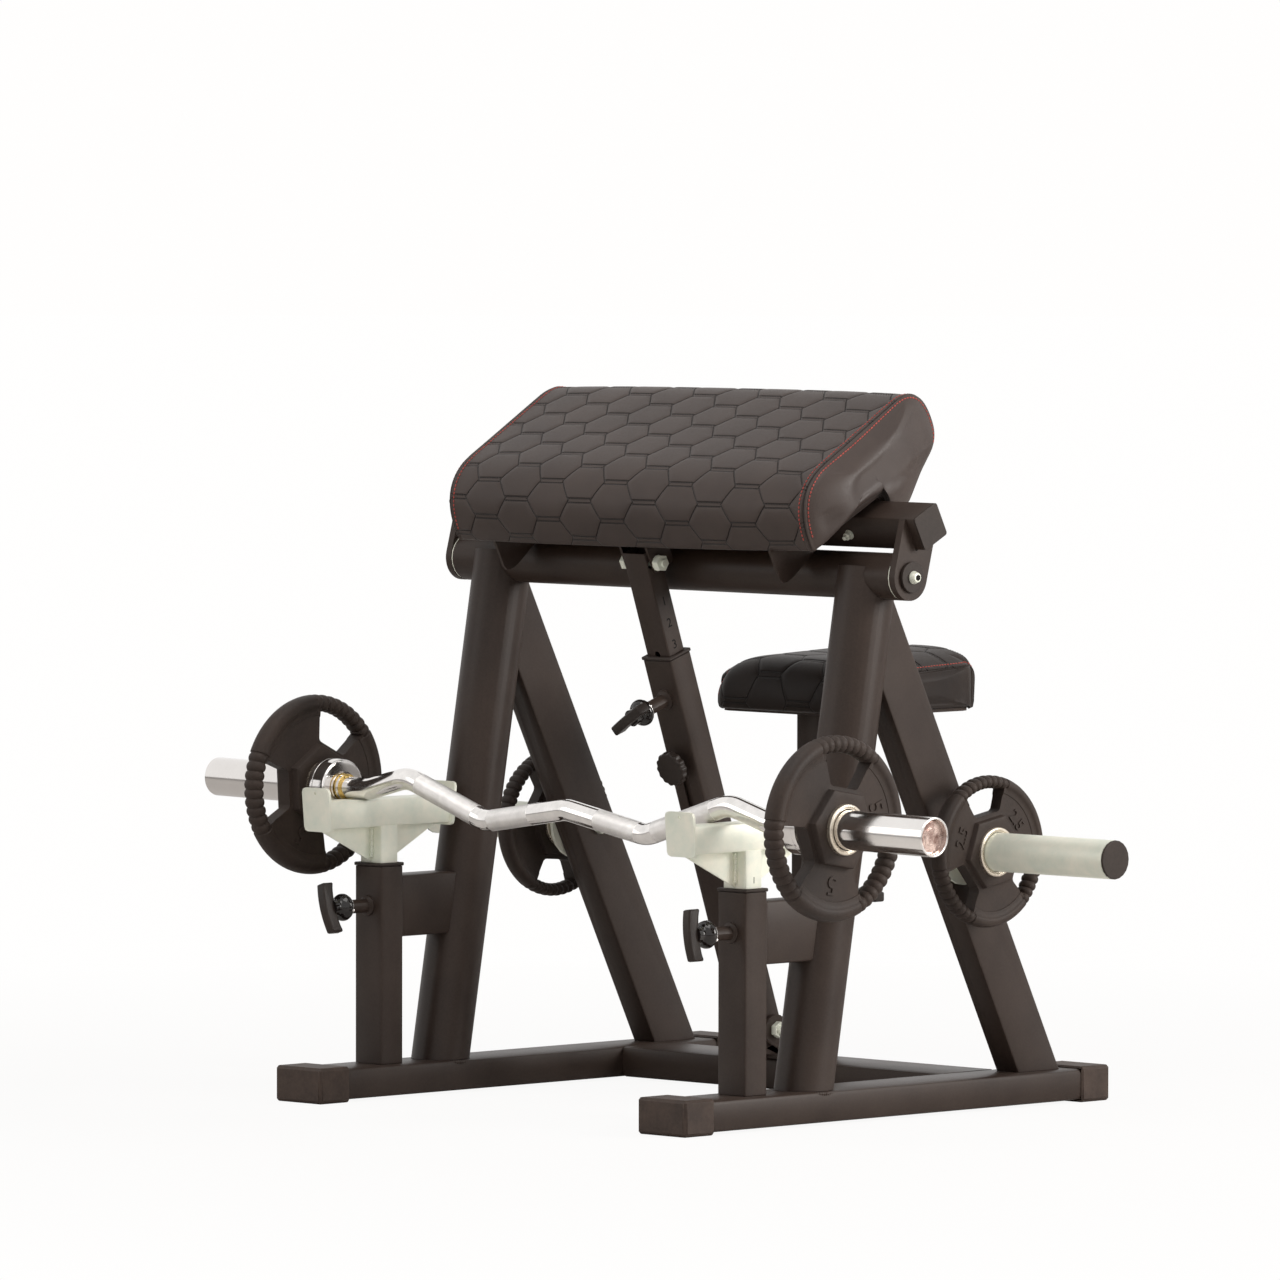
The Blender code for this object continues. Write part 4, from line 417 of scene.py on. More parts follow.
# %% Plywood under the arm pad
def plywood_look():
    """Veneers as bands across the board's thickness, with long noise for the grain."""
    g = Graph("plywood")
    grain = g.noise(60.0, 4.0, 0.6, g.stretched((0.4, 6.0, 6.0)))
    bands = g.noise(420.0, 1.0, 0.4, g.stretched((0.02, 0.02, 1.0)))
    amount = g.weighted(grain, 0.6, bands, 0.4)
    colour = g.blend(g.between(amount, 0.35, 0.65), tone(120, 92, 64), tone(168, 134, 96))
    g.put(g.shader, Base_Color=colour,
          Roughness=g.between(grain, 0.3, 0.7, 0.6, 0.75), Normal=g.bump(amount, 0.5, 0.0002))
    return g.material


plywood = plywood_look()

# %% [markdown]
# ## The frame keeps its CAD shape
# Every tube, plate and bolt stays as packed. Two modifiers finish it: the loose triangles are merged
# and shaded smooth except at real edges, and those edges get a fine round, which catches the light
# as a rolled tube's edge does.

# %% Soft edges for CAD nodes
def smooth_by_angle():
    """A node group: merge by distance, then shade smooth where faces meet at less than 30 degrees."""
    group = bpy.data.node_groups.new("merged and smooth", "GeometryNodeTree")
    group.interface.new_socket("Geometry", in_out="INPUT", socket_type="NodeSocketGeometry")
    group.interface.new_socket("Geometry", in_out="OUTPUT", socket_type="NodeSocketGeometry")
    n, link = group.nodes, group.links.new
    start, end = n.new("NodeGroupInput"), n.new("NodeGroupOutput")
    merge = n.new("GeometryNodeMergeByDistance")
    merge.inputs["Distance"].default_value = 0.00001
    faces = n.new("GeometryNodeSetShadeSmooth")
    edges = n.new("GeometryNodeSetShadeSmooth")
    edges.domain = "EDGE"
    angle = n.new("GeometryNodeInputMeshEdgeAngle")
    flat = n.new("FunctionNodeCompare")
    flat.operation = "LESS_THAN"
    flat.inputs[1].default_value = math.radians(30.0)
    link(start.outputs[0], merge.inputs["Geometry"])
    link(merge.outputs[0], faces.inputs["Geometry"])
    link(faces.outputs[0], edges.inputs["Geometry"])
    link(angle.outputs["Unsigned Angle"], flat.inputs[0])
    link(flat.outputs[0], edges.inputs["Shade Smooth"])
    link(edges.outputs[0], end.inputs[0])
    return group


SMOOTH = smooth_by_angle()


def dress(look, *names, edge=0.0007):
    """Give CAD nodes a finish, smooth shading and finely rounded edges."""
    for name in names:
        node = nodes[name]
        node.data.materials.clear()
        node.data.materials.append(look)
        node.modifiers.new("merged", "NODES").node_group = SMOOTH
        bevel = node.modifiers.new("rounded edges", "BEVEL")
        bevel.width = edge
        bevel.segments = 2
        bevel.limit_method = "ANGLE"
        bevel.angle_limit = math.radians(40.0)
        bevel.harden_normals = True


def both(*names):
    """The left and the right node of each name."""
    return [name + hand for name in names for hand in ("_left", "_right")]


dress(black_paint, "cross_rail", "crossbar", "strut_bracket", "strut_outer_tube", "strut_inner_tube",
      "carriage_tube", "clevis", "seat_sleeve", "seat_post",
      *both("rail", "brace", "front_leg", "rear_leg", "rest_post", "pivot_plate", "pad_arm"))
dress(collar_plastic, "collar_seat", "collar_strut",
      *both("collar", "carriage_cap", "pivot_disc", "peg_cap"))
dress(boot_rubber, *both("boot_front", "boot_rear"), edge=0.004)
dress(zinc, "clevis_bolt", "strut_base_bolt", *both("cradle", "storage_peg", "pivot_pin"), edge=0.0004)
dress(plywood, "pad_board", edge=0.0003)

# %% [markdown]
# ## The quilted pads
# The arm pad is a block of foam wrapped in leather cloth. Its quilting is a honeycomb with flat tops:
# the level sides of each hexagon are sewn twice, the sloping sides once. Foam swells between the
# rows, so each cell is a low pillow. The swelling is a cloth simulation on a coarse mesh whose sewn
# lines are pinned. Its result is read back as an array and carried over to a mesh
# whose faces on the leather have sides of 2 mm, against 5.6 mm in the simulation.

# %% Honeycomb distance
HEX_COLUMN = 0.0577          # from one column of hexagons to the next
HEX_ROW = 0.0490             # height of a hexagon
HEX_SIDE = 0.0400            # length of its level sides
HEX_RUN = HEX_COLUMN - HEX_SIDE
HEX_SLOPE = math.hypot(HEX_RUN, HEX_ROW / 2)
TWIN = 0.0027                # each level side is sewn this far above and below its line
FIRST_X, FIRST_S = -0.0183, 0.019        # middle of the first hexagon on the pad


def honeycomb(x, s):
    """The honeycomb's own axes, measured from the middle of its first hexagon."""
    return x - FIRST_X, s - FIRST_S


def hexagon_depth(x, s):
    """Distance from each point to the nearest side of its hexagon.

    Both sets of hexagon middles repeat every two columns by one row. At (a, b) from a middle the level
    side is ROW / 2 - b away, and the sloping side (ROW / 2 (SIDE / 2 + RUN - a) - RUN b) / SLOPE.
    """
    u, v = honeycomb(x, s)

    def inside(u_offset, v_offset):
        a = np.abs((u - u_offset + HEX_COLUMN) % (2 * HEX_COLUMN) - HEX_COLUMN)
        b = np.abs((v - v_offset + HEX_ROW / 2) % HEX_ROW - HEX_ROW / 2)
        slope = (HEX_ROW / 2 * (HEX_SIDE / 2 + HEX_RUN - a) - HEX_RUN * b) / HEX_SLOPE
        return np.minimum(HEX_ROW / 2 - b, slope)
    return np.maximum(inside(0.0, 0.0), inside(HEX_COLUMN, HEX_ROW / 2))


print("middle of a cell:", hexagon_depth(np.array([FIRST_X]), np.array([FIRST_S])).round(4))

# %% [markdown]
# A cushion here is a closed section carried from one side seam to the other, with a side panel at
# each end that bulges and closes. Position round the section is a length s, so the honeycomb is
# drawn in (x, s) and never stretches.

# %% Sections, bands and side panels
def walk(outline, s):
    """Points on a closed outline at the lengths s from its first corner, and the outward normals."""
    loop = np.concatenate([outline, outline[:1]])
    run = run_along(loop)
    total = run[-1]

    def at(t):
        return points_at(loop, run, t % total)
    soft = 0.004             # corners are taken as this far ahead and back along the outline
    point = (at(s - soft) + 2 * at(s) + at(s + soft)) / 4
    along = at(s + soft) - at(s - soft)
    return point, unit(np.stack([-along[:, 1], along[:, 0]], -1)), total


def cubic_weights(count, positions, wrap):
    """Matrix that carries count even samples to new positions by a smooth cubic through the samples."""
    base = np.floor(positions).astype(int)
    t = positions - base
    weights = np.stack([((2 - t) * t - 1) * t, (3 * t - 5) * t * t + 2, ((4 - 3 * t) * t + 1) * t,
                        (t - 1) * t * t], -1) / 2
    matrix = np.zeros((len(positions), count))
    rows = np.arange(len(positions))
    for step in range(4):
        index = base - 1 + step
        index = index % count if wrap else np.clip(index, 0, count - 1)
        np.add.at(matrix, (rows, index), weights[:, step])
    return matrix


class Cushion:
    """Section, seams and side panels of one pad, as functions of (s, x) and of (s, r)."""

    def __init__(self, outline, half_width, bulge, crown, front, quilted, middle, low, plan=None,
                 fall=3.0):
        self.outline, self.half, self.bulge, self.fall = outline, half_width, bulge, fall
        self.crown, self.front, self.low = crown, front, low
        self.quilted, self.middle, self.plan = quilted, np.array(middle), plan
        self.total = walk(outline, np.zeros(1))[2]

    def shaped(self, x, y, z):
        return np.stack(self.plan(x, y, z) if self.plan else np.broadcast_arrays(x, y, z), -1)

    def band(self, s, x, sink=0.0):
        """The section at s, raised on top and pushed out in front by amounts that fade to the seams."""
        point, normal, _ = walk(self.outline, s)
        fade = 1 - np.abs(x[None] / self.half) ** self.fall
        y = point[:, :1] - normal[:, :1] * sink - self.front * fade * np.maximum(0.0, -normal[:, :1])
        z = point[:, 1:] - normal[:, 1:] * sink + self.crown * fade * np.maximum(0.0, normal[:, 1:])
        return self.shaped(np.broadcast_to(x[None], z.shape), y + 0 * z, z)

    def panel(self, s, r, side, sink=0.0):
        """A side panel: from the seam at r 0 it swells out and shrinks towards the middle at r 1."""
        point, _, _ = walk(self.outline, s)
        r = r[:, None]
        out = self.half + (self.bulge - sink) * np.sin(np.minimum(r * 1.45, 1.0) * math.pi / 2) ** 0.8
        reach = 1 - r
        y = self.middle[0] + (point[None, :, 0] - self.middle[0]) * reach
        z = self.middle[1] + (point[None, :, 1] - self.middle[1]) * reach
        return self.shaped(side * np.broadcast_to(out, y.shape), y, z)

# %% [markdown]
# The simulation follows the usual recipe for cushions: pressure 4, no gravity, twenty frames, and a
# cap on how far a point may move. Points on sewn lines and where the pad rests are held, so only
# the cells and the side panels swell.

# %% Cloth simulation of a coarse cushion
FRAMES = 20


def swollen(name, points, quads, triangles, held, cap):
    """Positions of the points after the cloth has swollen, each moved by no more than cap."""
    mesh = bpy.data.meshes.new(name)
    mesh.from_pydata(points.tolist(), [], quads.tolist() + triangles.tolist())
    obj = bpy.data.objects.new(name, mesh)
    bpy.context.scene.collection.objects.link(obj)
    group = obj.vertex_groups.new(name="held")
    for level in range(11):
        group.add(np.nonzero(np.round(held * 10) == level)[0].tolist(), level / 10, "REPLACE")
    cloth = obj.modifiers.new("swell", "CLOTH")
    settings = cloth.settings
    settings.quality = 5
    settings.mass = 0.3
    settings.tension_stiffness = 12
    settings.compression_stiffness = 12
    settings.shear_stiffness = 6
    settings.bending_stiffness = 0.4
    settings.use_pressure = True
    settings.uniform_pressure_force = 4.0
    settings.vertex_group_mass = "held"
    settings.effector_weights.gravity = 0.0
    cloth.point_cache.frame_start = 1
    cloth.point_cache.frame_end = FRAMES
    scene = bpy.context.scene
    for step in range(1, FRAMES + 1):
        scene.frame_set(step)
    result = np.zeros(len(points) * 3, np.float32)
    obj.evaluated_get(bpy.context.evaluated_depsgraph_get()).data.vertices.foreach_get("co", result)
    scene.frame_set(1)
    bpy.data.objects.remove(obj)
    move = result.reshape(-1, 3) - points
    length = np.linalg.norm(move, axis=1, keepdims=True) + 1e-9
    print(name, "swells by", round(float(length.mean()) * 1000, 2), "mm on average,",
          round(float(length.max()) * 1000, 2), "mm at most before the cap")
    return points + move / length * cap * np.tanh(length / cap)

# %% Fine cushion from the coarse one
COARSE = 0.0056              # side of a face in the simulation
SUNK = 0.0013                # the cloth starts this far inside the finished surface
CAP = 0.003                  # and no point of it moves further than this


def upholstered(name, cushion, fine):
    """Coarse swelling plus fine shape; gives the band and the two panels on the fine lines."""
    count_s = int(round(cushion.total / COARSE))
    s = np.arange(count_s) * cushion.total / count_s
    count_x = int(round(2 * cushion.half / COARSE)) + 1
    x = np.linspace(-cushion.half, cushion.half, count_x)
    rings = np.linspace(0.0, 1.0, 9)[1:-1] * 0.94
    rest = cushion.band(s, x, SUNK)
    sides = [cushion.panel(s, rings, side, SUNK) for side in (-1, 1)]
    hubs = [panel[-1].mean(0, keepdims=True) for panel in sides]
    points = np.concatenate([*(part.reshape(-1, 3) for part in (rest, *sides)), *hubs])
    band_faces = grid_faces(count_s, count_x, wrap_rows=True)
    faces, fans, base = [band_faces], [], count_s * count_x
    for side, column in ((0, 0), (1, count_x - 1)):
        order = np.arange(count_s) * count_x + column
        new_ids = base + np.arange(len(rings) * count_s).reshape(-1, count_s)
        ring_ids = np.concatenate([order[None], new_ids])
        a, b = ring_ids[:-1], ring_ids[1:]
        quad = np.stack([a, b, np.roll(b, -1, 1), np.roll(a, -1, 1)], -1).reshape(-1, 4)
        hub = count_s * count_x + 2 * len(rings) * count_s + side
        fan = np.stack([ring_ids[-1], np.full(count_s, hub), np.roll(ring_ids[-1], -1)], -1)
        faces.append(quad if side == 0 else quad[:, ::-1])
        fans.append(fan if side == 0 else fan[:, ::-1])
        base += len(rings) * count_s
    is_quilted = cushion.quilted(walk(cushion.outline, s)[0])
    depth = hexagon_depth(x[None], s[:, None])
    held = np.where(is_quilted[:, None], np.clip(1.15 - depth / 0.007, 0.0, 1.0), 1.0)
    held[:, [0, -1]] = 1.0
    side_held = np.zeros((2 * len(rings) * count_s + 2,))
    low = cushion.panel(s, rings, 1)[..., 2].ravel() < cushion.low
    side_held[:-2] = np.tile(low.astype(float), 2)
    held = np.concatenate([held.ravel(), side_held])
    facing = outward((points, np.concatenate(faces), np.concatenate(fans)))
    end = swollen(name, points, facing[1], facing[2], held, CAP)
    # swelling of the band and of each panel, carried over to the finer lines
    fine_s, fine_x, fine_r = fine
    move = end[:base] - np.concatenate([cushion.band(s, x).reshape(-1, 3),
                                        cushion.panel(s, rings, -1).reshape(-1, 3),
                                        cushion.panel(s, rings, 1).reshape(-1, 3)])
    band_move = move[:count_s * count_x].reshape(count_s, count_x, 3)
    to_s = cubic_weights(count_s, fine_s / (cushion.total / count_s), True)
    to_x = cubic_weights(count_x, (fine_x + cushion.half) / (x[1] - x[0]), False)
    band = cushion.band(fine_s, fine_x) + np.einsum("ai,ijk,bj->abk", to_s, band_move, to_x,
                                                    optimize=True)
    panels = []
    for index, side in ((0, -1), (1, 1)):
        first = count_s * count_x + index * len(rings) * count_s
        side_move = move[first:first + len(rings) * count_s].reshape(len(rings), count_s, 3)
        seam_move = band_move[:, 0 if side < 0 else -1][None]
        side_move = np.concatenate([seam_move, side_move])
        to_r = cubic_weights(len(rings) + 1, fine_r / rings[0], False)
        panels.append(cushion.panel(fine_s, fine_r, side)
                      + np.einsum("ai,ijk,bj->abk", to_r, side_move, to_s, optimize=True))
    return band, panels

# %% [markdown]
# Sewn lines are sharper than any cushion mesh, so they come last: each point sinks along the
# surface normal by a bell curve of its distance to the nearest line. At the side seams two folds of
# leather meet, which gives a ridge, a dark groove and a ridge again.

# %% Channels, seams and the finished mesh
def normals_of(grid):
    """Unit normals of a grid from the cross product of its two directions."""
    return unit(np.cross(np.gradient(grid, axis=0), np.gradient(grid, axis=1)))


def bell(distance, width):
    """exp(-(distance / width)^2)"""
    return np.exp(-(distance / width) ** 2)


def seam_relief(distance):
    """Height across a side seam: two soft ridges beside a narrow groove."""
    return 0.0011 * bell(distance - 0.0024, 0.0018) - 0.0024 * bell(distance, 0.0011)


def outward_normals(panel, side):
    """Normals of a side panel, turned away from the middle of the pad."""
    out = normals_of(panel)
    return out * np.sign((out[..., 0] * side).mean())


def sewn(cushion, band, panels, fine):
    """Sink the quilting and raise the seams; gives the new band, the panels and the band's normals."""
    fine_s, fine_x, _ = fine
    normal = normals_of(band)
    normal = normal * np.sign(normal[len(fine_s) // 3, :, 2].mean())     # a third of the way is on top
    depth = hexagon_depth(fine_x[None], fine_s[:, None])
    quilted = cushion.quilted(walk(cushion.outline, fine_s)[0])[:, None]
    inside = cushion.half - np.abs(fine_x)[None]
    far = np.clip((inside - 0.006) / 0.006, 0.0, 1.0)
    height = -(0.0007 * bell(depth, 0.0040) + 0.0005 * bell(depth, 0.0017)) * quilted * far
    height = height + seam_relief(inside)
    band = band + normal * height[..., None]
    finished = []
    for side, panel in zip((-1, 1), panels):
        step = np.linalg.norm(panel - panel[:1], axis=2)
        raised = panel + outward_normals(panel, side) * seam_relief(step)[..., None]
        raised[0] = band[:, 0 if side < 0 else -1]
        finished.append(raised)
    return band, finished, normal


def cushion_mesh(name, band, panels, fine, body, look, replaces, to_row_frame):
    """Join band and panels in one closed mesh; its UV map holds the honeycomb's axes in metres."""
    fine_s, fine_x, _ = fine
    rows, columns = band.shape[:2]
    points, base = [band.reshape(-1, 3)], rows * columns
    quads, fans = [grid_faces(rows, columns, wrap_rows=True)], []
    u = [np.stack(np.broadcast_arrays(*honeycomb(fine_x[None], fine_s[:, None])), -1).reshape(-1, 2)]
    for side, panel in zip((-1, 1), panels):
        rings = panel.shape[0] - 1
        ids = np.concatenate([(np.arange(rows) * columns + (0 if side < 0 else columns - 1))[None],
                              base + np.arange(rings * rows).reshape(rings, rows)])
        a, b = ids[:-1], ids[1:]
        quad = np.stack([a, b, np.roll(b, -1, 1), np.roll(a, -1, 1)], -1).reshape(-1, 4)
        base += rings * rows
        points.append(panel[1:].reshape(-1, 3))
        points.append(panel[-1:].mean(1))
        fan = np.stack([ids[-1], np.full(rows, base), np.roll(ids[-1], -1)], -1)
        base += 1
        quads.append(quad if side < 0 else quad[:, ::-1])
        fans.append(fan if side < 0 else fan[:, ::-1])
        u.append(np.full((rings * rows + 1, 2), -9.0))
    shell = (placed(np.concatenate(points), to_row_frame), np.concatenate(quads), np.concatenate(fans))
    obj = piece(name, [shell], body, look, replaces, sharp=55.0, uv=np.concatenate(u))

# %% [markdown]
# Leather cloth has a pebbled grain: small cells with rounded tops. Cells are drawn by a Voronoi
# pattern and softened by noise. The sewn lines are drawn a second time in the finish, from the
# pad's own UV map, because a needle line is half a millimetre wide.

# %% Leather cloth
def leather_look(name, light, dark, gloss=0.35, sheen=0.05):
    """Pebble grain from cells of 1.1 mm, slow colour drift, and dark needle lines on the honeycomb."""
    g = Graph(name)
    pebble = g.cells(900.0)
    soft = g.noise(420.0, 3.0, 0.6)
    slow = g.noise(11.0, 4.0, 0.55)
    normal = g.bump(g.weighted(pebble, 0.8, soft, 0.6), 0.45, 0.00022)
    colour = g.blend(g.between(g.weighted(slow, 0.75, soft, 0.25), 0.35, 0.65), tone(*dark), tone(*light))
    line = sewn_lines(g)
    normal = g.bump(line, 1.0, 0.0012, normal)
    colour = g.blend(g.maths("MULTIPLY", g.maths("SUBTRACT", 1.0, line), 0.75), colour, tone(26, 22, 20))
    g.put(g.shader, Base_Color=colour, Normal=normal, Roughness=g.between(soft, 0.3, 0.7, 0.42, 0.56),
          Specular_IOR_Level=gloss, Sheen_Weight=sheen, Sheen_Roughness=0.4)
    return g.material


def sewn_lines(g):
    """1 on plain leather and 0 in a needle line: the honeycomb's distances again, written as nodes."""
    uv = g.add("ShaderNodeUVMap", uv_map="along").outputs["UV"]

    def vector_step(operation, vector, *settings):
        node = g.add("ShaderNodeVectorMath", operation=operation)
        g.link(vector, node.inputs[0])
        for index, value in enumerate(settings):
            node.inputs[index + 1].default_value = value
        return node.outputs[0]

    def folded(offset):
        wrapped = vector_step("WRAP", vector_step("SUBTRACT", uv, offset),
                              (HEX_COLUMN, HEX_ROW / 2, 1.0), (-HEX_COLUMN, -HEX_ROW / 2, -1.0))
        split = g.add("ShaderNodeSeparateXYZ")
        g.link(vector_step("ABSOLUTE", wrapped), split.inputs[0])
        slope = g.maths("SUBTRACT", (HEX_SIDE / 2 + HEX_RUN) * HEX_ROW / 2 / HEX_SLOPE,
                        g.weighted(split.outputs[0], HEX_ROW / 2 / HEX_SLOPE,
                                   split.outputs[1], HEX_RUN / HEX_SLOPE))
        level = g.maths("SUBTRACT", HEX_ROW / 2, split.outputs[1])
        twin = g.maths("ABSOLUTE", g.maths("SUBTRACT", level, TWIN))
        return g.maths("MINIMUM", slope, level), g.maths("MINIMUM", slope, twin)
    inside_a, near_a = folded((0.0, 0.0, 0.0))
    inside_b, near_b = folded((HEX_COLUMN, HEX_ROW / 2, 0.0))
    in_a = g.maths("GREATER_THAN", inside_a, inside_b)
    near = g.weighted(in_a, near_a, g.maths("SUBTRACT", 1.0, in_a), near_b)
    return g.between(near, 0.0003, 0.0012)


quilted_leather = leather_look("quilted leather cloth", (68, 57, 52), (56, 46, 42))
# The seat's leather is the pad's leather cloth in darker colours: painted shade for the seat, which sits in
# shade under the pad.
shaded_seat_leather = leather_look("seat leather cloth with painted shade", (46, 37, 32), (34, 27, 24), 0.2, 0.02)
thread_coat = {"rough": (0.5, 0.65), "grain": 2600.0, "depth": 0.0001, "blotch": 60.0, "gloss": 0.3}
red_thread = coated("red thread", (196, 88, 78), (150, 62, 56), **thread_coat)
black_thread = coated("black thread", (40, 34, 32), (24, 20, 19), **thread_coat)

# %% Stitches
def stitches(at, along, up, length, radius, sides=5):
    """One short lens of thread per point: rings that swell and shrink along the stitch."""
    t = np.array([-0.5, -0.3, 0.0, 0.3, 0.5])
    swell = np.array([0.35, 0.9, 1.0, 0.9, 0.35])
    turn = full_turn(sides)
    across = unit(np.cross(along, up))
    ring = (across[:, None, None] * np.cos(turn)[None, None, :, None]
            + up[:, None, None] * np.sin(turn)[None, None, :, None]) * (radius * swell)[None, :, None, None]
    grid = at[:, None, None] + along[:, None, None] * (t * length)[None, :, None, None] + ring
    count, last = len(at), (len(t) - 1) * sides
    points = grid.reshape(count, -1, 3)
    quads = grid_faces(len(t), sides, wrap_columns=True)
    j = np.arange(1, sides - 1)
    caps = np.concatenate([np.stack([0 * j, j + 1, j], -1), last + np.stack([0 * j, j, j + 1], -1)])
    start = (np.arange(count) * points.shape[1])[:, None, None]
    return points.reshape(-1, 3), (quads[None] + start).reshape(-1, 4), (caps[None] + start).reshape(-1, 3)


def on_grid(surface, a, b):
    """Points and unit normals at any (a, b) of a surface: its grid, its normals and its lines."""
    grid, normal, lines_a, lines_b = surface
    i = np.interp(a, lines_a, np.arange(len(lines_a)))
    j = np.interp(b, lines_b, np.arange(len(lines_b)))
    i0 = np.minimum(i.astype(int), len(lines_a) - 2)
    j0 = np.minimum(j.astype(int), len(lines_b) - 2)
    u, v = (i - i0)[:, None], (j - j0)[:, None]

    def mix(field):
        return ((1 - u) * (1 - v) * field[i0, j0] + u * (1 - v) * field[i0 + 1, j0]
                + (1 - u) * v * field[i0, j0 + 1] + u * v * field[i0 + 1, j0 + 1])
    return mix(grid), unit(mix(normal))


SEAM_PITCH = 0.0052          # from one stitch of a seam to the next
SEAM_LIFT = 0.0002           # middle of a seam's thread above the leather
NEARBY = 0.001               # a stitch's direction is taken over this length


def stitch_line(surface, a, b, length, radius):
    """Stitches at an even pitch along a line of (a, b) on a surface."""
    run = run_along(on_grid(surface, a, b)[0])
    at = np.arange(SEAM_PITCH / 2, run[-1], SEAM_PITCH)
    back, here, ahead = (on_grid(surface, np.interp(at + step, run, a), np.interp(at + step, run, b))
                         for step in (-NEARBY, 0.0, NEARBY))
    point, up = here
    return stitches(point + up * SEAM_LIFT, unit(ahead[0] - back[0]), up, length, radius)


# %% Quilting and seam thread of a cushion
def quilting_threads(cushion, band, normal, fine):
    """Stitches in every needle line: hexagon sides as short runs in (x, s), the level sides twice."""
    fine_s, fine_x, _ = fine
    half, level = HEX_SIDE / 2, HEX_ROW / 2
    columns = np.arange(-8, 9)
    rows = np.arange(-2, int(cushion.total / HEX_ROW) + 2)
    i, j = (v.ravel() for v in np.meshgrid(columns, rows))
    cx, cs = i * HEX_COLUMN, j * HEX_ROW + np.where(i % 2 == 1, HEX_ROW / 2, 0.0)
    runs = [((-half, level - TWIN), (half, level - TWIN)), ((-half, level + TWIN), (half, level + TWIN)),
            ((half, level), (half + HEX_RUN, 0.0)), ((half + HEX_RUN, 0.0), (half, -level))]
    t = (np.arange(9) + 0.5) / 9
    x, s, dx, ds = [], [], [], []
    for (x0, s0), (x1, s1) in runs:
        x.append((cx[:, None] + x0 + (x1 - x0) * t).ravel())
        s.append((cs[:, None] + s0 + (s1 - s0) * t).ravel())
        run = math.hypot(x1 - x0, s1 - s0)
        dx.append(np.full(x[-1].shape, (x1 - x0) / run))
        ds.append(np.full(x[-1].shape, (s1 - s0) / run))
    x, s, dx, ds = (np.concatenate(v) for v in (x, s, dx, ds))
    x, s = x + FIRST_X, s + FIRST_S
    top = fine_s[-1]
    keep = (np.abs(x) < cushion.half - 0.012) & (s > 0.002) & (s < top)
    keep &= cushion.quilted(walk(cushion.outline, np.clip(s, 0.0, top))[0])
    x, s, dx, ds = x[keep], s[keep], dx[keep], ds[keep]
    surface = (band, normal, fine_s, fine_x)
    point, up = on_grid(surface, s, x)
    ahead, _ = on_grid(surface, s + ds * NEARBY, x + dx * NEARBY)
    return stitches(point - up * 0.0001, unit(ahead - point), up, 0.0031, 0.00045)


def seam_threads(cushion, band, normal, panels, fine, radius=0.0009, on_panel=True):
    """Runs of thick thread beside each side seam: one on the band and, if asked, one on the panel."""
    inset, length = 0.0062, 0.0038
    fine_s, fine_x, fine_r = fine
    s = fine_s[cushion.quilted(walk(cushion.outline, fine_s)[0])]
    shells = []
    for side, panel in zip((-1, 1), panels):
        x = np.full(len(s), side * (cushion.half - inset))
        shells.append(stitch_line((band, normal, fine_s, fine_x), s, x, length, radius))
        if not on_panel:
            continue
        surface = (panel, outward_normals(panel, side), fine_r, fine_s)
        step = np.linalg.norm(panel - panel[:1], axis=2)
        rows = np.searchsorted(fine_s, s)
        r = np.array([np.interp(inset, column, fine_r) for column in step.T[rows]])
        shells.append(stitch_line(surface, r, s, length, radius))
    return joined(shells)


def piping(cushion, band, fine):
    """A thin cord in the groove of each side seam."""
    inside = cushion.quilted(walk(cushion.outline, fine[0])[0])
    return joined(tube(sweep(band[inside, column], circle(0.0014, 8), up=(1.0, 0.0, 0.0)))
                  for column in (0, -1))

# %% [markdown]
# The arm pad's section was read from the photograph at its side seam: a steep front, a flat top that
# rises with the tilt of the carriage, and a lip that hangs behind the carriage tube. The whole pad is
# bolted on about one degree askew.

# %% The arm pad
PAD_BOTTOM = 0.0713
arm_section = eased([
    (-0.070, PAD_BOTTOM - 0.0055, 0.006), (-0.0705, 0.1535, 0.075), (0.2085, 0.1685, 0.056),
    (0.2050, 0.0850, 0.024), (0.158, 0.0625, 0.006), (0.118, 0.037, 0.004), (0.0765, 0.036, 0.003),
    (0.0765, PAD_BOTTOM, 0.003), (-0.0600, PAD_BOTTOM, 0.001), (-0.0605, PAD_BOTTOM - 0.0055, 0.002)],
    steps=16)
arm = Cushion(arm_section, half_width=0.3145, bulge=0.029, crown=0.0045, front=0.007,
              quilted=lambda p: p[:, 1] > PAD_BOTTOM + 0.012, middle=(0.055, 0.112), low=0.078)


def fine_lines(cushion, plain=0.007, close=0.002):
    """Fine lines round and across a cushion: close on quilted leather and beside the seams."""
    s = np.arange(0.0, cushion.total, close)
    quilted = cushion.quilted(walk(cushion.outline, s)[0])
    keep = quilted | (np.arange(len(s)) % int(round(plain / close)) == 0) | (s < 0.012)
    s = s[keep]
    inner = np.arange(-cushion.half + 0.0125, cushion.half - 0.0120, close)
    edge = np.linspace(0.0, 0.0120, 22)
    x = np.unique(np.concatenate([-cushion.half + edge, inner, cushion.half - edge]).round(6))
    r = np.concatenate([np.linspace(0.0, 0.22, 26), np.linspace(0.24, 0.94, 16)])
    return s, x, r


def make_pad(node, thread_name, cushion, body, leather, where, **seam):
    """Cover and threads of a pad; gives its finished band and fine lines."""
    fine = fine_lines(cushion)
    band, panels = upholstered(node + "_cloth", cushion, fine)
    band, panels, normal = sewn(cushion, band, panels, fine)
    cushion_mesh(node + "_cover", band, panels, fine, body, leather, (node,), where)
    quilting = quilting_threads(cushion, band, normal, fine)
    piece(thread_name + "_quilting_thread", [moved(quilting, where)], body, black_thread)
    seams = seam_threads(cushion, band, normal, panels, fine, **seam)
    piece(thread_name + "_seam_thread", [moved(seams, where)], body, red_thread)
    return band, fine


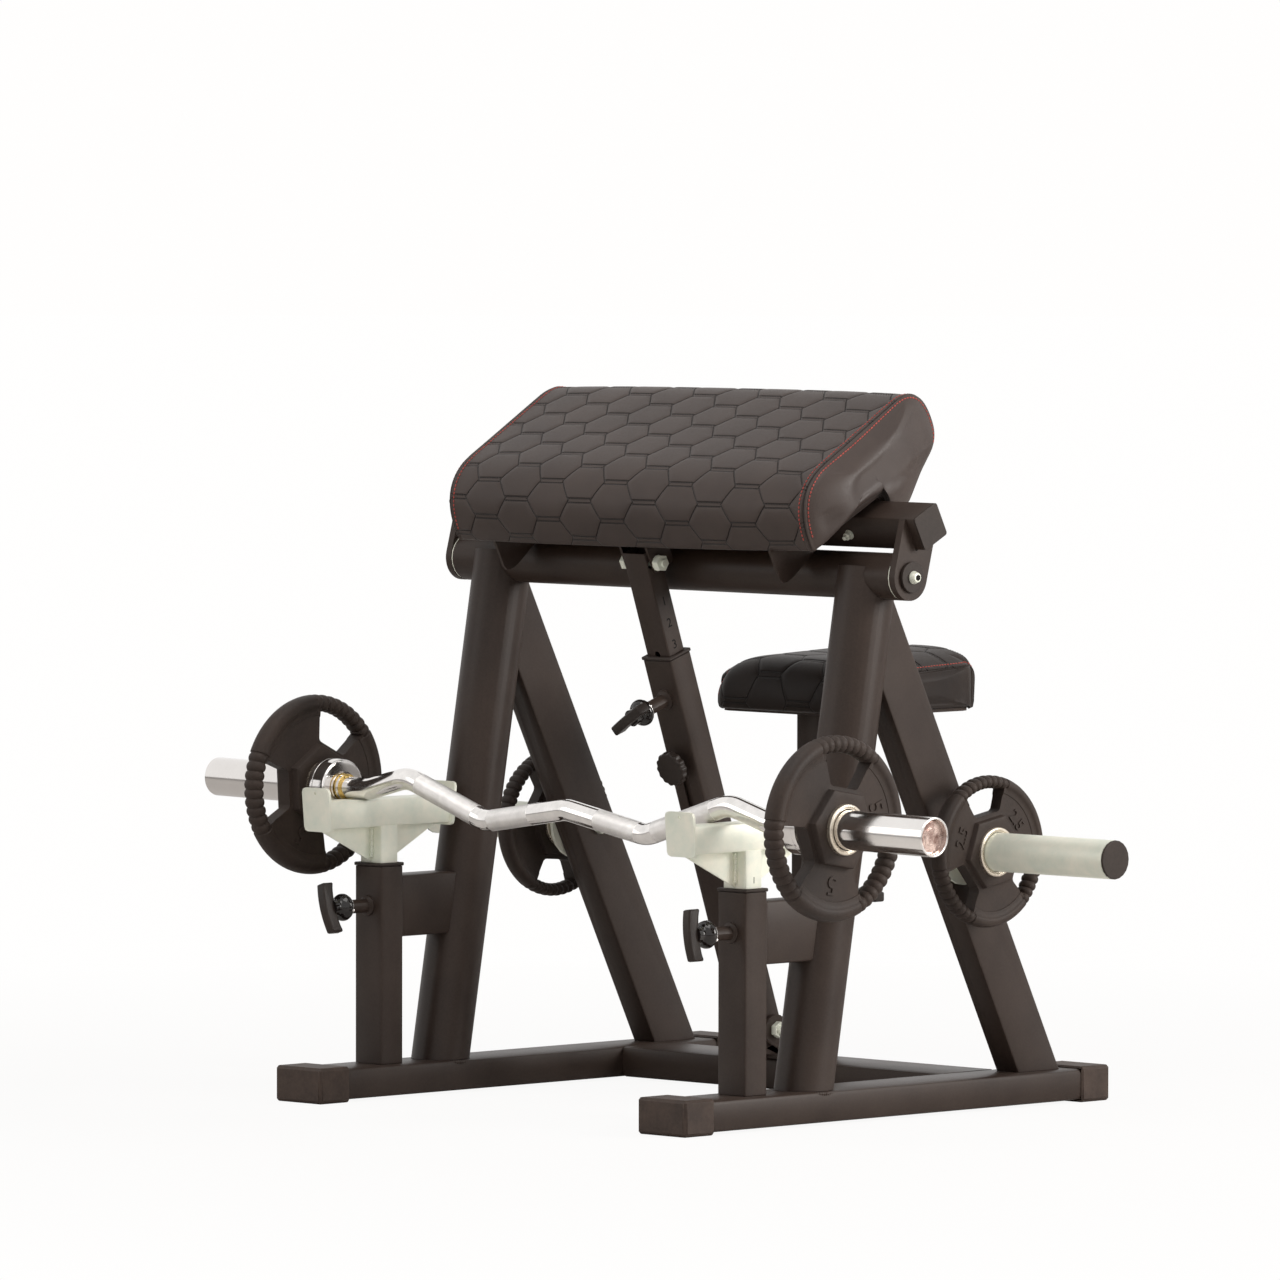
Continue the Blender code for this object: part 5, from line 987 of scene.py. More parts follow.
band, fine = make_pad("arm_pad", "arm_pad", arm, "pad_carriage", quilted_leather, PAD)
piece("arm_pad_piping", [moved(piping(arm, band, fine), PAD)], "pad_carriage", black_thread)
print("arm pad:", triangle_count)

# %% [markdown]
# The seat is made the same way, smaller: a rounded square whose corners are drawn in, with the same
# honeycomb wrapped over its front.

# %% The seat
SEAT = place((0.0, 0.283, 0.500), inside=BENCH)
SEAT_STRAIGHT = 0.0925       # half the length of the seat's straight sides


def seat_plan(x, y, z):
    """Draw the four corners in: points past both straight sides move to a quarter circle."""
    x, y, z = np.broadcast_arrays(x, y, z)
    over_x = np.maximum(0.0, np.abs(x) - SEAT_STRAIGHT)
    over_y = np.maximum(0.0, np.abs(y) - SEAT_STRAIGHT)
    scale = np.maximum(over_x, over_y) / np.maximum(np.hypot(over_x, over_y), 1e-9)
    corner = (over_x > 0) & (over_y > 0)
    return (np.where(corner, np.sign(x) * (SEAT_STRAIGHT + over_x * scale), x),
            np.where(corner, np.sign(y) * (SEAT_STRAIGHT + over_y * scale), y), z)


seat_section = eased([(-0.1285, -0.0040, 0.010), (-0.1325, 0.0450, 0.050), (0.1325, 0.0560, 0.020),
                      (0.1300, -0.0040, 0.006), (0.1200, -0.0040, 0.001), (0.1195, 0.0, 0.0005),
                      (-0.1180, 0.0, 0.0005), (-0.1185, -0.0040, 0.001)], steps=14)
seat = Cushion(seat_section, half_width=0.1225, bulge=0.011, crown=0.0235, front=0.003,
               quilted=lambda p: p[:, 1] > 0.012, middle=(0.0, 0.028), low=0.006, plan=seat_plan, fall=4.0)
make_pad("seat_pad", "seat", seat, "seat", shaded_seat_leather, SEAT, radius=0.0007, on_panel=False)

# %% [markdown]
# ## Discs
# A disc is rubber over iron: a round rim, a thin web, a raised hexagon round the hub and three grip
# windows. Beside each window the rim is ribbed so that a hand holds it. The surface is a grid in
# polar coordinates whose rows follow the hub, the hexagon, the windows' straight inner edges and the
# rim's round section. The cells of the windows are left out, and walls join the two faces.

# %% Grip disc
WINDOW = 25.0                # degrees from the middle of a window to its sides


def disc_columns(turn):
    """Angles round a disc: fine beside the windows for the ribs, coarse over the panels."""
    near = np.arange(-WINDOW - 5.0, WINDOW + 5.01, 0.5)
    far = np.arange(WINDOW + 7.0, 115.0 - WINDOW, 2.0)
    one = np.concatenate([near, far])
    angle = np.concatenate([one + 120.0 * k for k in range(3)])
    return angle, np.radians(angle + 90.0) + turn


def grip_disc(size, turn):
    """Shell of a disc: rows from bore to rim on the outer face, mirrored on the inner face."""
    degree, theta = disc_columns(turn)
    off = (degree + 60.0) % 120.0 - 60.0                     # angle from the nearest window's middle
    flat = np.radians((degree + 30.0) % 60.0 - 30.0)         # angle from the nearest flat of the hexagon
    in_window = np.abs(off) < WINDOW - 0.01
    boss, web, rim = size["boss"], size["web"], size["rim"]
    hexagon = size["boss_flats"] / 2 / np.cos(flat)
    at_window = np.abs(off) <= WINDOW + 0.01
    edge = size["window_inner"] / np.cos(np.radians(np.clip(off, -WINDOW, WINDOW)))
    corner = np.clip((np.abs(off) - WINDOW + 5.0) / 5.0, 0.0, 1.0) ** 3
    edge = np.maximum(edge + 0.003 * corner * at_window, hexagon + 0.0032)
    middle = size["radius"] - size["rim_width"] / 2
    half = size["rim_width"] / 2
    inner = middle - half
    rows_r, rows_z = [], []

    def row(r, z):
        rows_r.append(np.broadcast_to(r, theta.shape))
        rows_z.append(np.broadcast_to(z, theta.shape))
    hub = size["hub_radius"]
    for r in (hub - 0.003, hub + 0.0004, (hub + size["boss_flats"] / 2) / 2):
        row(r, boss)
    for out, z in ((-0.0016, boss), (-0.0006, boss - 0.0003), (0.0, boss - 0.0011), (0.0009, web + 0.0010),
                   (0.0014, web + 0.0002), (0.0024, web)):
        row(hexagon + out, z)
    first = len(rows_r)
    outer = np.full(theta.shape, inner) - 0.0028 * corner * at_window
    for t in np.linspace(0.0, 1.0, 9)[:-2]:
        row(edge + (outer - 0.0052 - edge) * t, web)
    row(outer - 0.0042, web + 0.00005)
    row(outer - 0.0036, web + 0.0009)
    row(outer - 0.0008, web + 0.0012)
    inside = np.clip((WINDOW - np.abs(off)) / 3.0, 0.0, 1.0)
    round_in = inside * inside * (3 - 2 * inside)
    last = len(rows_r)
    ribbed = np.clip(WINDOW + 3.5 - np.abs(off), 0.0, 1.0)
    lobes = np.abs(np.sin(math.pi * 9 * (off + WINDOW + 3.0) / (2 * WINDOW + 6.0)))
    groove = (1 - lobes ** 0.6) * 0.0026 * ribbed
    start = math.pi - np.arcsin((web + 0.0014) / rim) * (1 - round_in) - 0.10 * round_in
    for t in np.linspace(0.0, 1.0, 15):
        angle = start * (1 - t)
        row(middle + (half - groove) * np.sign(np.cos(angle)) * np.abs(np.cos(angle)) ** 0.92,
            (rim - groove) * np.abs(np.sin(angle)) ** 0.92 * np.where(t == 1.0, 0.0, 1.0))
    r, z = np.array(rows_r), np.array(rows_z)
    top = np.stack([r * np.cos(theta), r * np.sin(theta), z], -1)
    under = top[-2::-1] * np.array([1.0, 1.0, -1.0])
    grid = np.concatenate([top, under])
    rows, columns = grid.shape[:2]
    count = len(rows_r)

    def mirror(i):
        return 2 * (count - 1) - i
    cell = grid_faces(rows, columns, wrap_rows=True, wrap_columns=True).reshape(rows, columns, 4)
    opening = in_window & np.roll(in_window, -1)
    opening |= at_window & np.roll(at_window, -1)
    opening &= np.abs(np.roll(off, -1) - off) < 10.0
    keep = np.ones((rows, columns), bool)
    keep[first:last] &= ~opening
    keep[mirror(last):mirror(first)] &= ~opening
    j = np.nonzero(opening)[0]
    k = (j + 1) % columns
    walls = [np.stack([first * columns + j, first * columns + k, mirror(first) * columns + k,
                       mirror(first) * columns + j], -1),
             np.stack([last * columns + k, last * columns + j, mirror(last) * columns + j,
                       mirror(last) * columns + k], -1)]
    i = np.arange(first, last)
    for j in np.nonzero(opening & ~np.roll(opening, 1))[0]:
        walls.append(np.stack([(i + 1) * columns + j, i * columns + j, mirror(i) * columns + j,
                               mirror(i + 1) * columns + j], -1))
    for j in np.nonzero(~opening & np.roll(opening, 1))[0]:
        walls.append(np.stack([i * columns + j, (i + 1) * columns + j, mirror(i + 1) * columns + j,
                               mirror(i) * columns + j], -1))
    return grid.reshape(-1, 3), np.concatenate([cell[keep], *walls]), NO_TRIANGLES


def hub_ring(size, bore):
    """The steel ring of a hub: a flat lip, a shallow groove and a rounded inner edge, on both faces."""
    hub, top = size["hub_radius"], size["hub"]
    half = [(hub - 0.0004, 0.0, 0.0), (hub - 0.0004, top - 0.0012, 0.0006), (hub - 0.0018, top, 0.0010),
            (hub - 0.0042, top, 0.0005), (hub - 0.0050, top - 0.0012, 0.0004),
            (hub - 0.0064, top - 0.0012, 0.0004), (bore + 0.0006, top - 0.0020, 0.0006),
            (bore, top - 0.0034, 0.0006)]
    corners = [(r, -z, e) for r, z, e in half[:0:-1]] + half
    profile, sides = eased(corners, steps=3), 96
    grid = turned(profile[:, :1], profile[:, 1], sides)
    return grid.reshape(-1, 3), grid_faces(len(profile), sides, True, True), NO_TRIANGLES

# %% [markdown]
# The discs carry their weight in plain raised numbers. The numbers are Blender text, made a mesh
# first and then carried to their place, with their tops pointing out to the rim.

# %% Raised numbers
def number_mesh(text, height, thickness):
    """Flat text as a mesh centred on the origin, reading in the x and y plane."""
    curve = bpy.data.curves.new("number", "FONT")
    curve.body, curve.size, curve.extrude = text, height * 1.38, thickness / 2
    curve.bevel_depth, curve.resolution_u = min(0.00012, thickness / 4), 3
    curve.align_x, curve.align_y = "CENTER", "CENTER"
    obj = bpy.data.objects.new("number", curve)
    bpy.context.scene.collection.objects.link(obj)
    bpy.context.view_layer.update()
    mesh = bpy.data.meshes.new_from_object(obj.evaluated_get(bpy.context.evaluated_depsgraph_get()))
    bpy.data.objects.remove(obj)
    return mesh


def numbers(name, text, height, thickness, places, body, look):
    """The same number at several places, joined in one piece."""
    source = number_mesh(text, height, thickness)
    co = np.zeros(len(source.vertices) * 3, np.float32)
    source.vertices.foreach_get("co", co)
    co = co.reshape(-1, 3)
    source.calc_loop_triangles()
    triangles = np.zeros(len(source.loop_triangles) * 3, np.int32)
    source.loop_triangles.foreach_get("vertices", triangles)
    triangles = triangles.reshape(-1, 3)
    shells = [(placed(co, where), NO_QUADS, triangles) for where in places]
    return piece(name, shells, body, look)


# %% Four discs
WEIGHT_5 = {"radius": 0.117, "rim": 0.0138, "web": 0.0095, "boss": 0.0200, "hub": 0.0265,
            "hub_radius": 0.0325, "boss_flats": 0.092, "rim_width": 0.022, "window_inner": 0.052}
WEIGHT_2_5 = {"radius": 0.0976, "rim": 0.0125, "web": 0.0085, "boss": 0.0160, "hub": 0.0205,
              "hub_radius": 0.032, "boss_flats": 0.084, "rim_width": 0.017, "window_inner": 0.0485}
PEG = (0.136, 0.336)         # y and z of the storage pegs
DISC_BORE = 0.0256
discs = [("weight_5_left", "5", WEIGHT_5, BAR, -0.4668, (0, 0), -1, 26.0, "disc_5_left", (1, 2)),
         ("weight_5_right", "5", WEIGHT_5, BAR, 0.4718, (0, 0), 1, -10.0, "disc_5_right", (1, 2)),
         ("weight_2_5_left", "2.5", WEIGHT_2_5, BENCH, -0.3933, PEG, -1, 64.0, "disc_2_5_left", (2, 3)),
         ("weight_2_5_right", "2.5", WEIGHT_2_5, BENCH, 0.3933, PEG, 1, 10.0, "disc_2_5_right", (2, 3))]
for name, text, size, inside, x, (y, z), side, turn, body, panels_used in discs:
    where = place((x, y, z), (math.pi / 2, 0.0, side * math.pi / 2), inside)
    turn = math.radians(turn)
    piece(name + "_rubber", [moved(grip_disc(size, turn), where)], body, disc_rubber, (name,),
          sharp=38.0)
    piece(name + "_hub", [moved(hub_ring(size, DISC_BORE), where)], body, hub_steel)
    reach = 0.6 * size["radius"]
    spots = []
    for face, face_place in ((1, where), (-1, place(turn=(0.0, math.pi, 0.0), inside=where))):
        for third in panels_used:
            angle = math.pi / 2 + face * turn + math.radians(60.0 + 120.0 * third)
            spots.append(place((reach * math.cos(angle), reach * math.sin(angle), size["web"] + 0.0002),
                               (0.0, 0.0, angle - math.pi / 2), face_place))
    numbers(name + "_number", text, 0.025 if text == "5" else 0.017, 0.0028, spots, body, disc_rubber)
print("disc triangles:", triangle_count["weight_5_left_rubber"])

# %% [markdown]
# ## The curl bar
# The bar is one chromed rod, bent in the middle so that the wrists lie easily. Its line is a chain of
# straights joined by arcs. A circle carried along it gives the rod. The knurl is far too fine for
# faces, so the bar has a UV map, length along the bar and length round it, and the finish draws two
# crossing sets of grooves where the hands go.

# %% Line of the bar
def bent_line(corners, radius, spacing):
    """Even points on a chain of straights whose corners are arcs of one radius."""
    corners = np.array(corners, float)
    ahead = unit(np.diff(corners, axis=0))
    turn = np.arccos(np.clip((ahead[:-1] * ahead[1:]).sum(1), -1.0, 1.0))
    reach = radius * np.tan(turn / 2)
    start, end = corners[1:-1] - ahead[:-1] * reach[:, None], corners[1:-1] + ahead[1:] * reach[:, None]
    curve = corner_curve(start, corners[1:-1], end, 16)
    chain = np.concatenate([corners[:1], curve.reshape(-1, 2), corners[-1:]])
    run = run_along(chain)
    at = np.linspace(0.0, run[-1], int(run[-1] / spacing) + 1)
    return points_at(chain, run, at), at


BAR_RADIUS, BAR_SIDES = 0.014, 48
half_line = [(0.362, 0.0), (0.290, 0.0194), (0.145, -0.0285), (0.0, -0.0045)]
corners = [(-0.600, 0.0), *[(-x, z) for x, z in half_line[:-1]], half_line[-1], *half_line[-2::-1],
           (0.600, 0.0)]
line, run = bent_line(corners, 0.055, 0.003)
path = np.stack([line[:, 0], 0 * run, line[:, 1]], -1)
print("bar length:", run[-1].round(4))


def knurled_chrome():
    """Chrome with a diamond knurl: two folded sine waves in (length, round) cross at 60 degrees, with painted
    shade in the grooves.
    """
    g = Graph("knurled chrome")
    uv = g.add("ShaderNodeUVMap", uv_map="along").outputs["UV"]
    split = g.add("ShaderNodeSeparateXYZ")
    g.link(uv, split.inputs[0])
    length, around = split.outputs[0], split.outputs[1]
    waves = []
    for slope in (1.0, -1.0):
        across = g.weighted(length, 0.5, around, 0.866 * slope)
        waves.append(g.maths("ABSOLUTE", g.maths("SINE", g.maths("MULTIPLY", across, math.pi / 0.0013))))
    diamonds = g.maths("MINIMUM", waves[0], waves[1])
    away = g.maths("ABSOLUTE", length)
    zones = []
    for low, high in ((0.060, 0.135), (0.165, 0.275)):
        zones.append(g.maths("MULTIPLY", g.between(away, low, low + 0.0008),
                             g.between(away, high, high - 0.0008)))
    zone = g.maths("MAXIMUM", zones[0], zones[1])
    wear = g.noise(70.0, 3.0, 0.6)
    height = g.maths("MULTIPLY", diamonds, zone)
    lines = g.noise(1500.0, 1.0, 0.5, g.stretched((1.0, 0.05, 0.05)))
    rough = g.maths("ADD", g.between(lines, 0.3, 0.7, 0.07, 0.13), g.maths("MULTIPLY", zone, 0.22))
    plain = g.blend(g.between(wear, 0.3, 0.7), tone(226, 223, 220), tone(242, 239, 236))
    # Painted shade: in the knurled zones, the grooves between the diamonds are darkened toward (110, 104,
    # 100).
    colour = g.blend(g.maths("MULTIPLY", zone, g.between(diamonds, 0.1, 0.5, 0.22, 0.0)), plain,
                     tone(110, 104, 100))
    g.put(g.shader, Base_Color=colour, Metallic=1.0, Roughness=rough, Normal=g.bump(height, 1.0, 0.00018))
    return g.material


shell = tube(sweep(path, circle(BAR_RADIUS, BAR_SIDES), up=(0.0, 1.0, 0.0)))
half_run = run - run[-1] / 2
round_run = BAR_RADIUS * full_turn(BAR_SIDES)
bar_uv = np.stack(np.broadcast_arrays(half_run[:, None], round_run[None]), -1).reshape(-1, 2)
bar_uv = np.concatenate([bar_uv, [[half_run[0], 0.0], [half_run[-1], 0.0]]])
piece("curl_bar_rod", [moved(shell, BAR)], "bar", knurled_chrome(), ("ez_bar",), uv=bar_uv)

# %% [markdown]
# Each end carries a sleeve that turns on the rod, with a flange inside and a hollow end. On the rod
# beside the flange sit two thin brass rings with a chrome collar between them.

# %% Rings, collars and sleeves
for side, hand in ((-1, "left"), (1, "right")):
    where = place(turn=(math.pi / 2, 0.0, side * math.pi / 2), inside=BAR)
    thin = [lathe([(0.0138, z, 0.0), (0.0172, z, 0.0004), (0.0175, z + 0.0006, 0.0004),
                   (0.0172, z + 0.0012, 0.0004), (0.0138, z + 0.0012, 0.0)], 64) for z in (0.4020, 0.4088)]
    collar = lathe([(0.0138, 0.4032, 0.0), (0.0166, 0.4033, 0.0003), (0.0166, 0.4087, 0.0003),
                    (0.0138, 0.4088, 0.0)], 64)
    piece("bar_ring_" + hand, [moved(ring, where) for ring in thin], "bar", brass)
    piece("bar_collar_" + hand, [moved(collar, where)], "bar", chrome)
    face = lathe([(0.0, 0.6410, 0.0), (0.0108, 0.6410, 0.0005), (0.0116, 0.6401, 0.0004),
                  (0.0190, 0.6399, 0.0008), (0.0216, 0.6392, 0.0004), (0.0216, 0.6386, 0.0),
                  (0.0, 0.6386, 0.0)], 72)
    piece("bar_end_face_" + hand, [moved(face, where)], "bar_sleeve_" + hand, copper)
    sleeve = lathe([
        (0.0, 0.6405, 0.0), (0.0105, 0.6405, 0.0004), (0.0112, 0.6398, 0.0004),
        (0.0112, 0.6385, 0.0003), (0.0218, 0.6385, 0.0008), (0.0220, 0.6462, 0.0008),
        (0.0228, 0.6470, 0.0004), (0.0242, 0.6470, 0.0010), (0.0250, 0.6460, 0.0008),
        (0.0250, 0.4415, 0.0012), (0.0262, 0.4402, 0.0010), (0.0350, 0.4400, 0.0010),
        (0.0360, 0.4390, 0.0010), (0.0360, 0.4330, 0.0004), (0.0357, 0.4326, 0.0004),
        (0.0357, 0.4318, 0.0004), (0.0360, 0.4314, 0.0004), (0.0360, 0.4125, 0.0014),
        (0.0344, 0.4104, 0.0012), (0.0200, 0.4103, 0.0010), (0.0143, 0.4110, 0.0005),
        (0.0143, 0.4135, 0.0), (0.0, 0.4135, 0.0)], 120)
    piece("bar_sleeve_chrome_" + hand, [moved(sleeve, where)], "bar_sleeve_" + hand, chrome,
          ("sleeve_" + hand,))

# %% [markdown]
# ## Handles
# Four spring pins hold the posts, the strut and the seat. Each has a welded barrel, which is part of
# the CAD tube, a turned hub and a moulded T handle that bows towards the hand.

# %% Pull pins
def t_handle(start):
    """A bar whose ends bend back by bow t^2, drawn flat in (length, depth) and given a thickness."""
    t = np.linspace(-1.0, 1.0, 25)
    half_length, depth, bow = 0.035, 0.023, 0.005
    inner = np.stack([half_length * t, start + bow * (1 - t * t)], -1)
    outer = np.stack([half_length * t[::-1], start + depth - bow * t[::-1] ** 2], -1)
    inner[[0, -1]] += [[0.002, 0.002], [-0.002, 0.002]]
    outer[[0, -1]] += [[-0.002, -0.002], [0.002, -0.002]]
    return plate(np.concatenate([inner, outer]), -0.0065, 0.0065, 0.0026, 4)


def pull_pin(name, body, inside, origin, facing, turn):
    """Round hub, seat ring with three chrome beads as painted glints, and T handle along local z, which
    points out of the barrel.
    """
    where = place(origin, (facing, turn, 0.0), inside)
    hub = lathe([(0.0, 0.0404, 0.0), (0.0140, 0.0404, 0.0020), (0.0176, 0.0428, 0.0024),
                 (0.0180, 0.0470, 0.0030), (0.0158, 0.0528, 0.0050), (0.0100, 0.0566, 0.0040),
                 (0.0112, 0.0665, 0.0), (0.0, 0.0665, 0.0)], 72)
    seat_ring = lathe([(0.0, 0.0399, 0.0), (0.0150, 0.0399, 0.0004), (0.0158, 0.0402, 0.0004),
                       (0.0158, 0.0410, 0.0), (0.0, 0.0410, 0.0)], 64)
    swap = np.eye(4)
    swap[:3, :3] = [[0, 0, 1], [1, 0, 0], [0, 1, 0]]
    bar = moved(t_handle(0.0583), swap)
    piece(name + "_handle", [moved(bar, where)], body, handle_plastic, (name,))
    piece(name + "_hub", [moved(hub, where)], body, polished_plastic)
    # Three small chrome beads on the hub's rim are painted glints: they stand in for the lamp highlights on
    # the glossy hub.
    glint_bead = lathe([(0.0, -0.0024, 0.0), (0.0024, -0.0024, 0.0020), (0.0024, 0.0024, 0.0020),
                  (0.0, 0.0024, 0.0)], 20)
    beads = [moved(glint_bead, place((0.0158 * math.cos(a), 0.0158 * math.sin(a), 0.0420), inside=where))
             for a in (math.pi / 2, -math.pi / 6, -5 * math.pi / 6)]
    piece(name + "_ring", [moved(seat_ring, where), *beads], body, chrome)


ALONG_Y, ALONG_BACK = math.pi / 2, -math.pi / 2
pull_pin("pull_pin_left", "pin_left", BENCH, (-RAIL_X, -0.266, 0.249), ALONG_Y, math.radians(-17.7))
pull_pin("pull_pin_right", "pin_right", BENCH, (RAIL_X, -0.266, 0.249), ALONG_Y, math.radians(-7.3))
pull_pin("pull_pin_strut", "pin_strut", STRUT, (0.0, -0.020, 0.467), ALONG_Y, math.radians(60.0))
pull_pin("pull_pin_seat", "pin_seat", BENCH, (0.0, 0.246, 0.250), ALONG_BACK, math.radians(90.0))

# %% Star knob
def star_knob():
    """Radius = profile(z) - amount (1 - cos(14 turn)) / 2, where amount fades to 0 on the faces."""
    profile = eased([(0.0085, 0.0096, 0.0), (0.0105, 0.0096, 0.0008), (0.0112, 0.0120, 0.0006),
                     (0.0210, 0.0124, 0.0020), (0.0233, 0.0145, 0.0022), (0.0233, 0.0222, 0.0020),
                     (0.0218, 0.0242, 0.0016), (0.0100, 0.0245, 0.0010), (0.0060, 0.0245, 0.0)],
                    closed=False, steps=6)
    lobes, sides = 14, 224
    amount = np.clip((profile[:, 0] - 0.016) / 0.007, 0.0, 1.0) * 0.0017
    radius = profile[:, :1] - amount[:, None] * (1 - np.cos(lobes * full_turn(sides)))[None] / 2
    return tube(turned(radius, profile[:, 1], sides))


knob_place = place((0.0, -0.020, 0.3785), (ALONG_Y, 0.0, 0.0), STRUT)

# %% [markdown]
# ## Small things on the frame
# Tubes are joined by weld beads, which are painted over: a thin round cord along each joint, with a
# ripple for every puddle of the weld. The strut and the rests carry plain numbers for their places.

# %% Weld beads
def weld(points, normal, radius=0.0030):
    """A closed cord along corner points: radius r (1 + 0.13 sin(2 pi run / 3.6 mm))."""
    points = np.concatenate([points, points[:1]])
    run = run_along(points)
    at = np.linspace(0.0, run[-1], int(run[-1] / 0.0009))
    path = points_at(points, run, at)
    wave = 1 + 0.13 * np.sin(2 * math.pi * at / 0.0036)
    return tube(sweep(path, circle(radius, 8), normal, wave))


def level_loop(x, y, z, half_x, half_y, round_corner):
    """A level loop round a tube: an eased rectangle, or an ellipse where round_corner is None."""
    if round_corner is None:
        loop = circle(1.0, 72) * np.array([half_x, half_y])
    else:
        loop = eased([(half_x, half_y, round_corner), (-half_x, half_y, round_corner),
                      (-half_x, -half_y, round_corner), (half_x, -half_y, round_corner)], steps=5)
    return np.stack([loop[:, 0] + x, loop[:, 1] + y, np.full(len(loop), z)], -1)


beads = []
for side in (-1, 1):
    x = side * RAIL_X
    beads += [weld(level_loop(x, -0.246, 0.0402, 0.0250, 0.0200, 0.004), (0.0, 0.0, 1.0)),
              weld(level_loop(x, -0.135, 0.0402, 0.0380, 0.0386, None), (0.0, 0.0, 1.0)),
              weld(level_loop(x, 0.2813, 0.0402, 0.0200, 0.0392, 0.004), (0.0, 0.0, 1.0))]
    brace = level_loop(x, 0.2475, -0.2258, 0.0200, 0.0400, 0.005)[:, [0, 2, 1]]
    beads.append(weld(brace, (0.0, 1.0, 0.0)))
piece("weld_beads", [moved(joined(beads), BENCH)], "frame", black_paint, sharp=60.0)

# %% Numbers and the carriage's two screws
for index, s in enumerate((0.5955, 0.566, 0.5366)):
    numbers("strut_number_" + str(index + 1), str(index + 1), 0.0125, 0.0001,
            [place((TUBE_FACE, 0.0, s), (math.pi / 2, 0.0, math.pi / 2), STRUT)], "strut_upper", ink_and_socket_shade)
numbers("rest_number", "1", 0.0085, 0.0001,
        [place((RAIL_X + TUBE_FACE, -0.246, 0.3150), (math.pi / 2, 0.0, math.pi / 2), BENCH)],
        "rest_right", ink_and_socket_shade)
screw = lathe([(0.0, 0.0, 0.0), (0.0068, 0.0, 0.0003), (0.0068, 0.0014, 0.0004), (0.0058, 0.0015, 0.0001),
               (0.0058, 0.0029, 0.0003), (0.0050, 0.0030, 0.0001), (0.0053, 0.0075, 0.0006),
               (0.0030, 0.0082, 0.0004), (0.0030, 0.0120, 0.0006), (0.0, 0.0124, 0.0)], 48)
piece("carriage_screws", [moved(screw, place((x, 0.0245, 0.0450), (math.pi / 2, 0.0, 0.0), CARRIAGE))
                          for x in (-0.298, 0.298)], "pad_carriage", zinc)
for side, hand in ((-1, "left"), (1, "right")):
    x = side * RAIL_X + 0.0030
    seam = np.linspace((x, -0.2622, 0.3120), (x, -0.2622, 0.3500), 60)
    ripple = 1 + 0.2 * np.sin(np.arange(60) * 1.3)
    cord = tube(sweep(seam, circle(0.0026, 10), up=(0.0, 1.0, 0.0), scale=ripple))
    piece("cradle_weld_" + hand, [moved(cord, BENCH)], "rest_" + hand, zinc, sharp=60.0)
tips = [max(abs((nodes["pivot_pin_" + hand].matrix_world @ Vector(c))[0] - BENCH[0, 3])
            for c in nodes["pivot_pin_" + hand].bound_box) for hand in ("left", "right")]
# Near-black flat hexagons on the pivot pins' heads are painted shade: they stand in for the dark hollows of
# the hex sockets.
socket = lathe([(0.0, -0.001, 0.0), (0.0040, -0.001, 0.0), (0.0040, 0.0001, 0.0), (0.0, 0.0001, 0.0)], 6)
sockets = [moved(socket, place((side * tip, PIVOT_Y, PIVOT_Z), (0.0, side * math.pi / 2, 0.0), BENCH))
           for side, tip in zip((-1, 1), tips)]      # dark hexagons in the pivot pins' heads
piece("pivot_socket_shade", sockets, "frame", ink_and_socket_shade)
print("weld beads:", triangle_count["weld_beads"], "triangles")

# %% [markdown]
# ## Camera, light and floor
# The photograph was taken from far away with a long lens, a little above the bar. The studio is
# white all round: the world is a soft grey for the light it gives, and white wherever the camera or
# a shiny surface looks at it. A large lamp overhead and two at the sides give a plain level.

# %% Camera
azimuth, pitch, roll = math.radians(44.8568), math.radians(2.93266), math.radians(-0.08876)
forward = np.array([-math.sin(azimuth) * math.cos(pitch), math.cos(azimuth) * math.cos(pitch),
                    -math.sin(pitch)])
right = np.array([math.cos(azimuth), math.sin(azimuth), 0.0])
down = np.cross(forward, right)
camera_x = right * math.cos(roll) + down * math.sin(roll)
camera_y = -(-right * math.sin(roll) + down * math.cos(roll))
camera = bpy.data.objects.new("camera", bpy.data.cameras.new("camera"))
viewpoint = (11.3683, -11.5726, 1.4289)
camera.matrix_world = Matrix((*zip(camera_x, camera_y, -forward, viewpoint), (0.0, 0.0, 0.0, 1.0)))
camera.data.lens, camera.data.sensor_width = 354.25, 36.0
camera.data.clip_end = 80.0
bpy.context.scene.collection.objects.link(camera)
bpy.context.scene.camera = camera

# %% World and lamps
scene = bpy.context.scene
scene.view_settings.view_transform = "Standard"
world = bpy.data.worlds.new("studio")
world.use_nodes = True
scene.world = world
tree = world.node_tree
tree.nodes.clear()


def either(first, second):
    """A node that gives the larger of two values."""
    node = tree.nodes.new("ShaderNodeMath")
    node.operation = "MAXIMUM"
    tree.links.new(first, node.inputs[0])
    tree.links.new(second, node.inputs[1])
    return node.outputs[0]


def background(colour, strength):
    """An even sky of one colour."""
    node = tree.nodes.new("ShaderNodeBackground")
    node.inputs["Color"].default_value = colour
    node.inputs["Strength"].default_value = strength
    return node.outputs[0]


rays = tree.nodes.new("ShaderNodeLightPath").outputs
mix = tree.nodes.new("ShaderNodeMixShader")
out = tree.nodes.new("ShaderNodeOutputWorld")
seen = either(either(rays["Is Camera Ray"], rays["Is Glossy Ray"]), rays["Is Transmission Ray"])
for index, output in enumerate((seen, background(tone(255, 250, 246), 0.26),
                                background((1.0, 0.992, 0.985, 1.0), 1.0))):
    tree.links.new(output, mix.inputs[index])
tree.links.new(mix.outputs[0], out.inputs[0])


def lamp(name, position, target, size, power, colour):
    """A square area lamp that faces its target."""
    data = bpy.data.lights.new(name, "AREA")
    data.shape, data.size, data.energy, data.color = "SQUARE", size, power, colour
    obj = bpy.data.objects.new(name, data)
    aim = (Vector(target) - Vector(position)).to_track_quat("-Z", "Y")
    obj.matrix_world = Matrix.Translation(position) @ aim.to_matrix().to_4x4()
    scene.collection.objects.link(obj)


